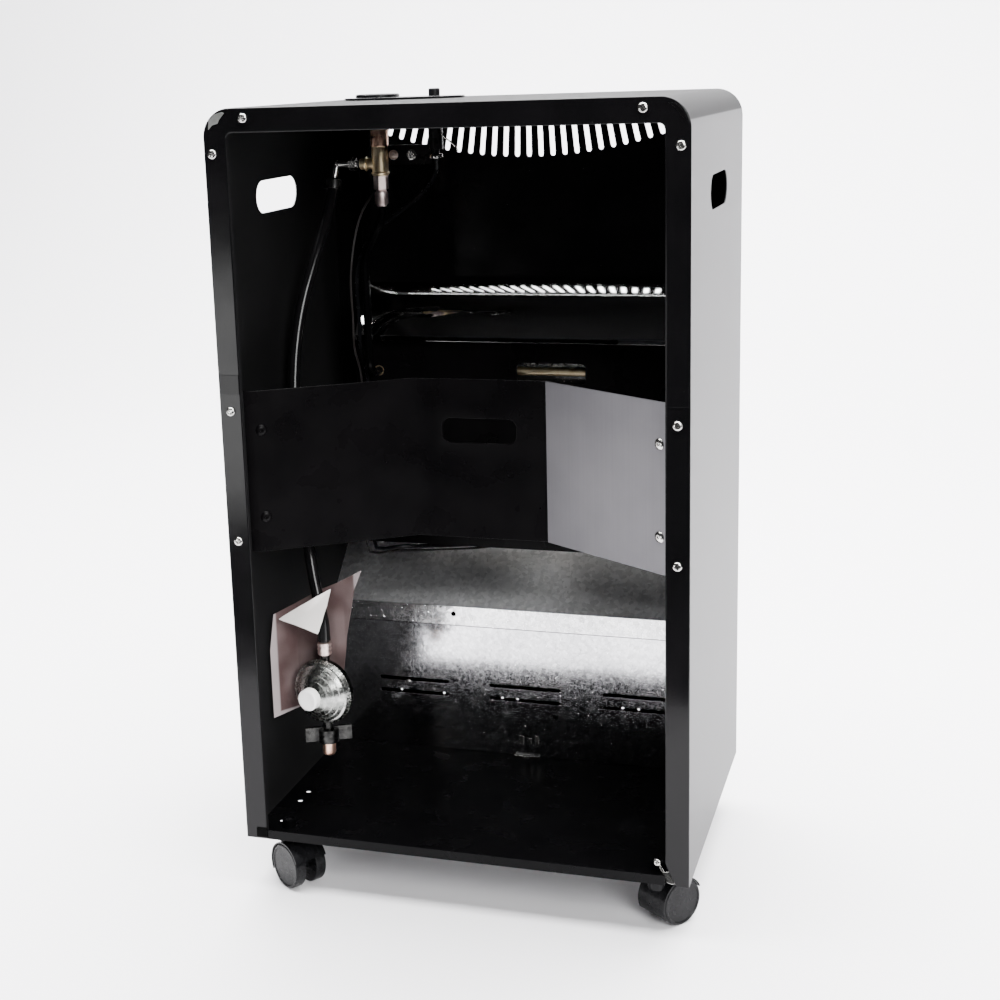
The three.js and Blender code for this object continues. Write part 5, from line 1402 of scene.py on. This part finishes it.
@dataclass
class HoseLine:
    """The hose as one curve with a round section, with its nipple, clamp and sleeve."""

    diameter: float = 0.011

    ROUTE = (
        (172.0, -57.4, 603.0), (172.7, -54.8, 592.6), (174.4, -47.6, 576.0), (178.2, -34.0, 550.0),
        (183.4, -19.0, 522.0), (188.4, -4.0, 492.0), (191.8, 9.0, 458.0), (192.8, 19.0, 422.0),
        (190.8, 28.0, 386.0), (186.2, 37.0, 348.0), (179.6, 46.0, 309.0), (171.8, 58.0, 272.0),
        (163.4, 69.0, 238.0), (156.0, 75.6, 212.0), (152.4, 78.1, 197.5), (151.6, 78.6, 187.0),
        (151.6, 78.6, 174.7),
    )

    def build(self) -> Piece:
        """Makes the hose.

        Returns:
            The hose's curve.
        """
        refine("hose_nipple", Finishes.bright_steel, width=0.0004)
        # The clamp's near-black steel is painted shade on a plated steel clamp.
        refine("hose_clamp", Finishes.shaded_clamp_steel, width=0.0003)
        data = bpy.data.curves.new("gas_hose_dressed", "CURVE")
        data.dimensions = "3D"
        data.bevel_depth = self.diameter / 2
        data.bevel_resolution = 6
        data.resolution_u = 10
        data.use_fill_caps = True
        points = [in_cabinet(place) for place in self.ROUTE]
        spline = data.splines.new("BEZIER")
        spline.bezier_points.add(len(points) - 1)
        for knot, place in zip(spline.bezier_points, points):
            knot.co = place
            knot.handle_left_type = knot.handle_right_type = "AUTO"
        hose = bpy.data.objects.new("gas_hose_dressed", data)
        bpy.context.scene.collection.objects.link(hose)
        dress(hose, Finishes.rubber, replaces=["gas_hose"])
        self._sleeve(points)
        return hose

    def length(self) -> float:
        """Returns the hose's length along its smooth line."""
        curve = frame_curve(self.ROUTE)
        return sum((b - a).length for a, b in zip(curve, curve[1:]))

    def _sleeve(self, points: list[Vector]) -> None:
        """Adds the smooth black sleeve over the hose's lower end, above the ferrule.

        Args:
            points: The hose's route in metres.
        """
        end, before = points[-1], points[-3]
        radius = self.diameter / 2
        axis = before - end
        length = axis.length * 0.96
        profile = [
            (radius + 0.0001, 0.0),
            (radius + 0.0008, 0.0006),
            (radius + 0.0008, length * 0.7),
            (radius + 0.0003, length),
        ]
        sleeve = Bench.turned("hose_sleeve", profile, 32)
        sleeve.data.transform(Bench.facing(axis, end + axis.normalized() * 0.0004))
        Bench.smooth(sleeve, 40)
        dress(sleeve, Finishes.rubber)


def frame_curve(route: Sequence[Point]) -> list[Vector]:
    """Draws a smooth line through a route.

    Args:
        route: The route's points, in millimetres above the cabinet's underside.

    Returns:
        Close points along the line, in metres.
    """
    knots = [in_cabinet(place) for place in route]
    ends = [2 * knots[0] - knots[1], *knots, 2 * knots[-1] - knots[-2]]
    line = []
    for n in range(1, len(ends) - 2):
        a, b, c, d = ends[n - 1 : n + 3]
        for step in range(8):
            t = step / 8
            square, cube = 2 * a - 5 * b + 4 * c - d, 3 * b - a - 3 * c + d
            line.append(0.5 * (2 * b + (c - a) * t + square * t**2 + cube * t**3))
    return [*line, knots[-1]]


@dataclass
class Regulator:
    """The gas regulator that hangs on the hose, with its wing nut and leaflet."""

    place: tuple[float, float, float] = (152.72, 83.47, 125.5)
    turn: float = -13.0
    rim: float = 32.0
    knurls: int = 60
    knurl_depth: float = 0.0009

    def build(self) -> list[Piece]:
        """Builds the regulator.

        Returns:
            The pieces that hang on the hose.
        """
        stand = Matrix.Translation(in_cabinet(self.place))
        self.matrix = stand @ Matrix.Rotation(math.radians(self.turn), 4, "Z")
        pieces = [
            refine("regulator_body", Finishes.dark_alloy, width=0.0006),
            refine("inlet_spigot", Finishes.copper, width=0.0004, steps=3),
            refine("hose_ferrule", Finishes.pale_copper, width=0.0004),
            self._dome(),
            self._cap(),
            self._wing_nut(),
        ]
        pieces += self._ferrule_rings()
        pieces += self._leaflet()
        return pieces

    def _set(self, obj: Piece) -> Piece:
        """Moves a piece from the regulator's own axes to the heater's."""
        obj.data.transform(self.matrix)
        return obj

    def _turned_rearward(self, name: str, profile: Profile, sides: int) -> Piece:
        """Makes a turned piece that faces the regulator's rear.

        Args:
            name: The piece's name.
            profile: Pairs of radius and height in millimetres.
            sides: How many sides the round has.

        Returns:
            The piece, in the regulator's own axes.
        """
        made = Bench.turned(name, [(r * MM, h * MM) for r, h in profile], sides)
        made.data.transform(Matrix.Rotation(-math.pi / 2, 4, "X"))
        return made

    def _dome(self) -> Piece:
        """Builds the pressed cover: a knurled rim, a shoulder and a cone.

        Returns:
            The cover.
        """
        rim = self.rim
        profile = [
            (rim - 1.0, 0.0), (rim, 0.8), (rim - 2.2, 5.4), (rim - 3.4, 6.0), (rim - 4.2, 6.2),
            (rim - 4.8, 6.9), (rim - 7.0, 9.0), (rim - 7.6, 9.1), (rim - 11.5, 12.6), (rim - 12.0, 12.7),
            (rim - 16.5, 16.4), (rim - 17.0, 16.5), (11.6, 19.0), (10.2, 19.8), (9.4, 20.0),
        ]
        dome = self._turned_rearward("regulator_cover", profile, 2 * self.knurls)
        with Bench.editing(dome):

            def on_knurl(middle: Vector, _normal: Vector) -> bool:
                """Tells every second face of the slanted rim."""
                spoke = round(math.degrees(math.atan2(middle.z, middle.x)) / 3 - 0.5)
                out = math.hypot(middle.x, middle.z)
                return 0.001 < middle.y < 0.0052 and out > (rim - 2.4) * MM and spoke % 2 == 0

            Bench.pick(dome, on_knurl)
            bpy.ops.mesh.extrude_faces_move(TRANSFORM_OT_shrink_fatten={"value": -self.knurl_depth})
        Bench.settle(dome)
        Bench.smooth(dome, 24)
        return dress(self._set(dome), Finishes.chrome, replaces=["regulator_dome"])

    def _cap(self) -> Piece:
        """Builds the plastic cap with its turned edge and shallow dish.

        Returns:
            The cap.
        """
        profile = [
            (9.6, 20.3), (10.5, 20.6), (10.5, 27.0), (10.2, 27.8),
            (9.4, 28.3), (7.6, 28.3), (7.0, 27.9), (2.0, 27.7),
        ]
        cap = self._turned_rearward("regulator_cap_dressed", profile, 48)
        Bench.smooth(cap, 40)
        return dress(self._set(cap), Finishes.white_plastic, replaces=["regulator_cap"])

    def _wing_nut(self) -> Piece:
        """Builds the wing nut from its CAD shape, with its wings' ends rounded."""
        nut = Bench.of_node("wing_nut", "wing_nut_dressed", 0.0009, 3)
        return dress(nut, Finishes.dark_alloy, "coupling_nut", ["wing_nut"])

    def _ferrule_rings(self) -> list[Piece]:
        """Adds the crimped rings round the hose's ferrule.

        Returns:
            The rings, from the lowest up.
        """
        rings = []
        for number, height in enumerate((36.6, 40.6, 44.6), 1):
            profile = [(0.0060, 0.0), (0.0069, 0.0007), (0.0069, 0.0015), (0.0060, 0.0022)]
            ring = Bench.turned(f"ferrule_ring_{number}", profile, 32)
            ring.data.transform(Matrix.Translation((0, -0.005, height * MM)))
            Bench.smooth(ring, 50)
            rings.append(dress(self._set(ring), Finishes.pale_copper))
        return rings

    def _leaflet(self) -> list[Piece]:
        """Builds the folded paper leaflet and the white flap in front of the hose.

        Returns:
            The leaflet and its flap.
        """
        back = Bench.of_node("info_tag", "leaflet", 0.0)
        Bench.smooth(back, 25)
        dress(back, Finishes.mauve_paper, replaces=["info_tag"])
        corners = [
            (195.6, 90.0, 196.6), (168.9, 92.0, 213.4), (152.6, 91.0, 223.2), (137.4, 86.0, 231.8),
            (141.4, 90.0, 214.6), (146.8, 91.0, 198.4), (151.0, 93.0, 184.6), (169.7, 93.0, 191.4),
        ]
        Bench.clear()
        bpy.ops.mesh.primitive_circle_add(vertices=len(corners), radius=1, fill_type="NGON")
        flap = Bench.named("leaflet_flap")
        for vert, place in zip(flap.data.vertices, corners):
            vert.co = in_cabinet(place)
        with Bench.editing(flap):
            bpy.ops.mesh.select_all(action="SELECT")
            bpy.ops.mesh.poke()
            bpy.ops.mesh.subdivide(number_cuts=3)
        Bench.modify(flap, "SMOOTH", factor=0.5, iterations=2)
        Bench.modify(flap, "SOLIDIFY", thickness=0.0004, offset=0.0)
        Bench.smooth(flap, 60)
        return [back, dress(flap, Finishes.white_paper)]


# ---- Castors --------------------------------------------------------------------------------


@dataclass
class Castors:
    """Four twin-wheel castors."""

    wheel: float = 21.5
    trail: float = 14.0

    PLACES = {
        "rear_left": (178.0, 124.0, 55.0),
        "rear_right": (-178.0, 124.0, 143.4),
        "front_left": (178.0, -124.0, 323.4),
        "front_right": (-178.0, -124.0, 235.0),
    }

    def build(self) -> None:
        """Dresses the four castors."""
        pattern = self._wheel_pattern()
        for corner, (x, y, turn) in self.PLACES.items():
            castor = f"castor_{corner}"
            refine(castor + "_hood", Finishes.black_plastic, castor + "_swivel", width=0.0005, steps=2)
            refine(castor + "_axle", Finishes.bright_steel, castor + "_swivel", width=0.0003)
            stand = Matrix.Translation((x * MM, y * MM, 0)) @ Matrix.Rotation(math.radians(turn), 4, "Z")
            for side, word in ((1, "near"), (-1, "far")):
                node = f"{castor}_wheel_{word}"
                spin = Matrix.Rotation(side * math.pi / 2, 4, "Y")
                hub = Matrix.Translation((0, self.trail * MM, self.wheel * MM))
                wheel = Bench.copy(pattern, node + "_dressed", stand @ hub @ spin)
                dress(wheel, Finishes.black_plastic, f"{castor}_wheel_{word}", [node])
        bpy.data.objects.remove(pattern)

    def _wheel_pattern(self) -> Piece:
        """Models one wheel.

        Returns:
            The pattern, round the origin, whose outer side faces +Z.
        """
        radius = self.wheel
        profile = [
            (4.0, 5.6), (radius - 1.6, 5.6), (radius - 0.5, 5.9), (radius, 6.8), (radius, 15.4),
            (radius - 0.3, 16.2), (radius - 1.2, 16.8), (radius - 2.6, 16.8), (radius - 3.2, 16.2),
            (radius - 4.4, 16.1), (6.0, 16.35), (5.2, 16.1),
        ]
        wheel = Bench.turned("wheel_pattern", [(r * MM, h * MM) for r, h in profile], 56)
        Bench.smooth(wheel, 32)
        return wheel


# ---- Studio ---------------------------------------------------------------------------------


@dataclass
class Studio:
    """The camera, the pale floor and backdrop, and the lights."""

    place: tuple[float, float, float] = (-0.42142, 1.47729, 0.75126)
    angles: tuple[float, float, float] = (76.6755, 1.9082, -162.1439)
    lens: float = 59.80
    shift: tuple[float, float] = (0.0723, -0.0334)
    sweep_width: float = 6.4
    sweep_front: float = -2.8
    sweep_rear: float = 0.7
    sweep_height: float = 3.6
    sweep_curve: float = 1.0
    dim: float = 0.02

    LIGHTS = (
        ("ceiling_softbox", (0.0, -0.6, 2.8), (0.0, -0.6, 0.0), 4.0, 3.4, 1000.0),
        ("backdrop_wash", (0.0, -1.2, 2.7), (0.0, -2.8, 1.0), 3.2, 0.8, 60.0),
        ("left_softbox", (0.95, 1.5, 0.2), (0.2, 0.15, 0.3), 0.55, 0.45, 7.0),
        ("right_softbox", (-1.5, 1.9, 1.5), (0.0, 0.1, 0.35), 1.2, 1.2, 100.0),
    )

    def camera(self) -> None:
        """Sets the camera up as the photograph was taken."""
        data = bpy.data.cameras.new("camera")
        data.lens = self.lens
        data.shift_x, data.shift_y = self.shift
        data.clip_start, data.clip_end = 0.05, 30.0
        camera = bpy.data.objects.new("camera", data)
        camera.location = self.place
        camera.rotation_euler = Euler([math.radians(angle) for angle in self.angles])
        bpy.context.scene.collection.objects.link(camera)
        bpy.context.scene.camera = camera

    def build(self) -> None:
        """Makes the floor, the backdrop and the lights."""
        self._sweep()
        for light in self.LIGHTS:
            self._light(*light)
        world = bpy.data.worlds.new("studio")
        world.use_nodes = True
        inputs = world.node_tree.nodes["Background"].inputs
        inputs["Color"].default_value = (0.9, 0.92, 1.0, 1.0)
        inputs["Strength"].default_value = self.dim
        bpy.context.scene.world = world

    def _sweep(self) -> None:
        """Makes one pale sheet: the floor, which curves up into the backdrop."""
        Bench.clear()
        bpy.ops.mesh.primitive_plane_add(size=1)
        sweep = Bench.named("studio_sweep")
        front, rear = self.sweep_front, self.sweep_rear
        sweep.scale = (self.sweep_width, rear - front, 1)
        sweep.location = (0, (front + rear) / 2, 0)
        Bench.settle_place(sweep)
        with Bench.editing(sweep, "EDGE"):
            Bench.pick_edges(sweep, lambda middle, _span: middle.y < front + 0.1)
            lift = {"value": (0, 0, self.sweep_height)}
            bpy.ops.mesh.extrude_region_move(TRANSFORM_OT_translate=lift)
            bpy.ops.mesh.select_all(action="DESELECT")
            Bench.pick_edges(sweep, lambda middle, _span: middle.y < front + 0.1 and middle.z < 0.01)
            bpy.ops.mesh.bevel(offset=self.sweep_curve, segments=12, affect="EDGES")
        Bench.smooth(sweep, 60)
        material = bpy.data.materials.new("StudioPaper")
        material.use_nodes = True
        shader = material.node_tree.nodes["Principled BSDF"]
        shader.inputs["Base Color"].default_value = (0.82, 0.81, 0.83, 1)
        shader.inputs["Roughness"].default_value = 0.6
        sweep.data.materials.append(material)

    def _light(
        self, name: str, place: Point, target: Point, width: float, height: float, power: float
    ) -> None:
        """Adds one soft area light.

        Args:
            name: The light's name.
            place: Where it stands.
            target: The point that it faces.
            width: Its width in metres.
            height: Its height in metres.
            power: Its power in watts.
        """
        data = bpy.data.lights.new(name, "AREA")
        data.shape = "RECTANGLE"
        data.size, data.size_y = width, height
        data.energy = power
        light = bpy.data.objects.new(name, data)
        light.location = place
        light.rotation_euler = (Vector(target) - Vector(place)).to_track_quat("-Z", "Y").to_euler()
        bpy.context.scene.collection.objects.link(light)


# ---- The whole heater -----------------------------------------------------------------------


def main() -> None:
    """Builds the studio and the heater's sub-assemblies in order."""
    logging.basicConfig(level=logging.INFO, format="%(message)s")
    studio = Studio()
    studio.camera()
    hose_line = HoseLine()
    hose = hose_line.build()
    hanging = Regulator().build()
    fasteners = Fasteners()
    fasteners.build()
    Cabinet(fasteners).build()
    InnerSheets(fasteners).build()
    Burner().build()
    Controls(fasteners).build()
    Castors().build()
    fasteners.tidy()
    studio.build()


if __name__ == "__main__":
    main()
